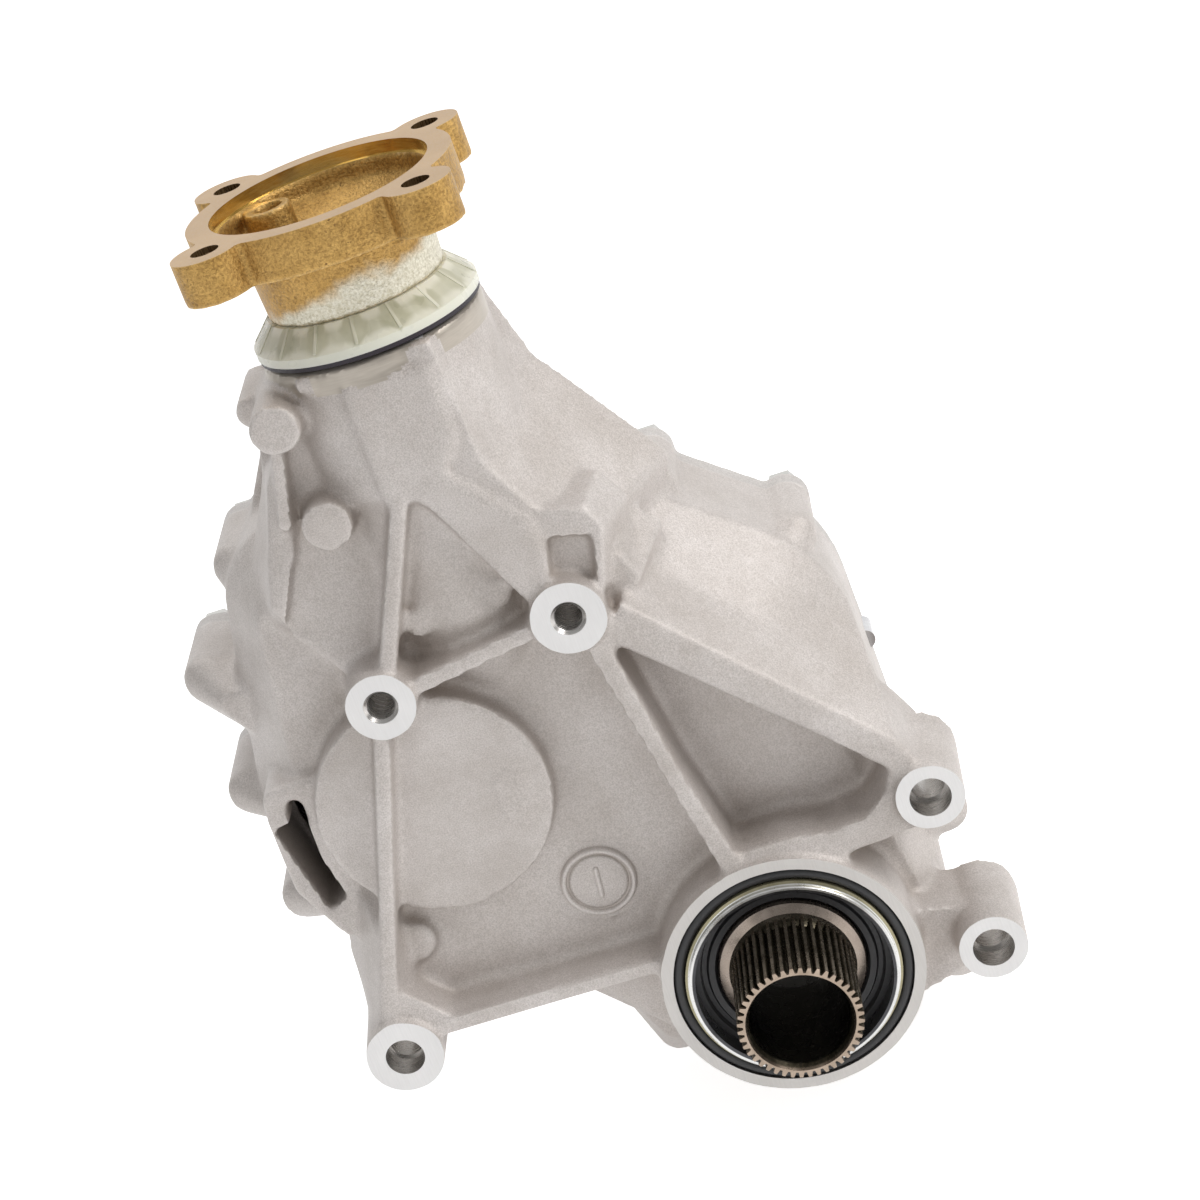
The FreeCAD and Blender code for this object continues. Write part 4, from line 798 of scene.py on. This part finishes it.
# ---------------------------------------------------------------- screw threads in the tapped holes
def thread(name, origin, turn, radius, length, pitch, material, body, slot):
    """Helical ridge that lines a hole, from its mouth inwards; turn carries +Z to the hole's direction."""
    sides = 36
    profile = [(0.00006, -0.46), (-0.00075, -0.06), (-0.00075, 0.06), (0.00006, 0.46)]
    count = int(length / pitch * sides)

    def build(bm):
        rows = []
        for i in range(count + 1):
            angle = 2 * math.pi * i / sides
            depth = pitch * i / sides
            rows.append([bm.verts.new(origin + turn @ Vector((
                (radius + dr) * math.cos(angle), (radius + dr) * math.sin(angle), depth + dz * pitch)))
                for dr, dz in profile])
        for a, b in zip(rows, rows[1:]):
            for j in range(len(profile)):
                k = (j + 1) % len(profile)
                bm.faces.new((a[j], a[k], b[k], b[j]))
        bm.faces.new(rows[0])
        bm.faces.new(rows[-1][::-1])
        bmesh.ops.recalc_face_normals(bm, faces=bm.faces)

    piece = mesh_from(name, build)
    finish_mesh(piece, [material], lambda c, n: 0, 28)
    place(piece, body, slot)


inwards = Matrix.Rotation(math.radians(-90), 3, "X")
downwards = Matrix.Rotation(math.radians(180), 3, "X")
BOSS_PITCH = 0.00175
BOSS_THREAD_LENGTH = 0.0224
EAR_PITCH = 0.0015
EAR_THREAD_LENGTH = 0.0115
for m in mounts.values():
    if m["kind"] == "threaded_hole":
        x, _, z = m["pos_m"]
        root_r = m["dims"]["r_mm"] * MM + 0.0007
        thread(m["name"] + "_thread", Vector((x, 0.0016, z)), inwards, root_r,
               BOSS_THREAD_LENGTH, BOSS_PITCH, bore_cut, "housing", "cast_aluminium")
for number, (x, y) in enumerate(EARS, 1):
    mouth = Vector((x, y, flange_top - 0.0013))
    thread(f"output_ear_{number}_thread", mouth, downwards, ear_hole_r + 0.0006,
           EAR_THREAD_LENGTH, EAR_PITCH, flange_thread, "output_group", "flange_gold")

# ---------------------------------------------------------------- materials of the other nodes
node_material = {
    "input_shaft": spline_oiled, "input_retainer": retainer_plated, "input_oring": ring_rubber,
    "input_seal": seal_rubber, "output_seal": seal_rubber, "halfshaft_seal": seal_rubber,
    "cover_bolts": bolt_zinc, "ring_gear_bolts": bolt_zinc, "pinion_nut": bolt_zinc,
    "fill_plug": plug_steel, "drain_plug": plug_steel, "breather": breather_brass,
    "dust_ring": dust_plastic, "deflector_ring": deflector_dark, "cover_dowels": bearing_steel}
for name, node in frame["nodes"].items():
    if node.hide_render:
        continue
    if name in node_material:
        material = node_material[name]
    else:
        material = bearing_steel if "bearing" in name else gear_steel
    node.data.materials.clear()
    node.data.materials.append(material)

# ---------------------------------------------------------------- floor, backdrop and light
low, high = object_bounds()
floor_z = low.z - 0.0005
FLOOR_GLOW = 0.66
BEND_START = 1.2
BEND_R = 1.0


def build_floor(bm):
    """Level floor that curves up into a backdrop behind the object."""
    rows = [(-3.0, 0.0), (BEND_START, 0.0)]
    for degrees in range(10, 91, 10):
        angle = math.radians(degrees)
        rows.append((BEND_START + BEND_R * math.sin(angle), BEND_R - BEND_R * math.cos(angle)))
    rows.append((BEND_START + BEND_R, 4.0))
    verts = [[bm.verts.new((x, y, floor_z + z)) for y, z in rows] for x in (-4.0, 4.0)]
    for i in range(len(rows) - 1):
        bm.faces.new((verts[0][i], verts[1][i], verts[1][i + 1], verts[0][i + 1]))


floor = mesh_from("floor", build_floor)
floor.data.shade_smooth()
floor_paint = Painter("floor_pale")
floor_cloud = floor_paint.noise(0.8, 2.0)
floor_paint.color(floor_paint.ramp(floor_cloud, 0.3, 0.7, (0.90, 0.90, 0.90), (0.93, 0.93, 0.93)))
floor_paint.set(Roughness=0.9, Emission_Color=(1.0, 1.0, 1.0, 1.0))
path = floor_paint.tree.nodes.new("ShaderNodeLightPath").outputs
seen = floor_paint.math("MAXIMUM", path["Is Camera Ray"], path["Is Glossy Ray"])
seen = floor_paint.math("MAXIMUM", seen, path["Is Transmission Ray"])
glow = floor_paint.math("MULTIPLY", seen, FLOOR_GLOW)
floor_paint.link(glow, floor_paint.shader.inputs["Emission Strength"])
floor.data.materials.append(floor_paint.material)

world = bpy.data.worlds.new("studio")
bpy.context.scene.world = world
world.use_nodes = True
world.node_tree.nodes["Background"].inputs["Color"].default_value = (1.0, 1.0, 1.0, 1)
world.node_tree.nodes["Background"].inputs["Strength"].default_value = 0.38


def area_light(name, position, target, size, power, tint=(1, 1, 1)):
    data = bpy.data.lights.new(name, "AREA")
    data.shape = "RECTANGLE"
    data.size, data.size_y = size
    data.energy = power
    data.color = tint
    lamp = bpy.data.objects.new(name, data)
    bpy.context.scene.collection.objects.link(lamp)
    lamp.location = position
    lamp.rotation_euler = (Vector(target) - Vector(position)).to_track_quat("-Z", "Y").to_euler()


centre = (low + high) / 2
area_light("key", centre + Vector((1.25, -0.42, 0.95)), centre, (0.6, 0.6), 13.5, (1.0, 0.985, 0.97))
area_light("fill", centre + Vector((-0.9, -1.3, 0.5)), centre, (0.9, 0.9), 3)
area_light("top", centre + Vector((-0.2, 0.3, 1.4)), centre, (0.8, 0.8), 6)
bpy.context.scene.view_settings.view_transform = "Standard"
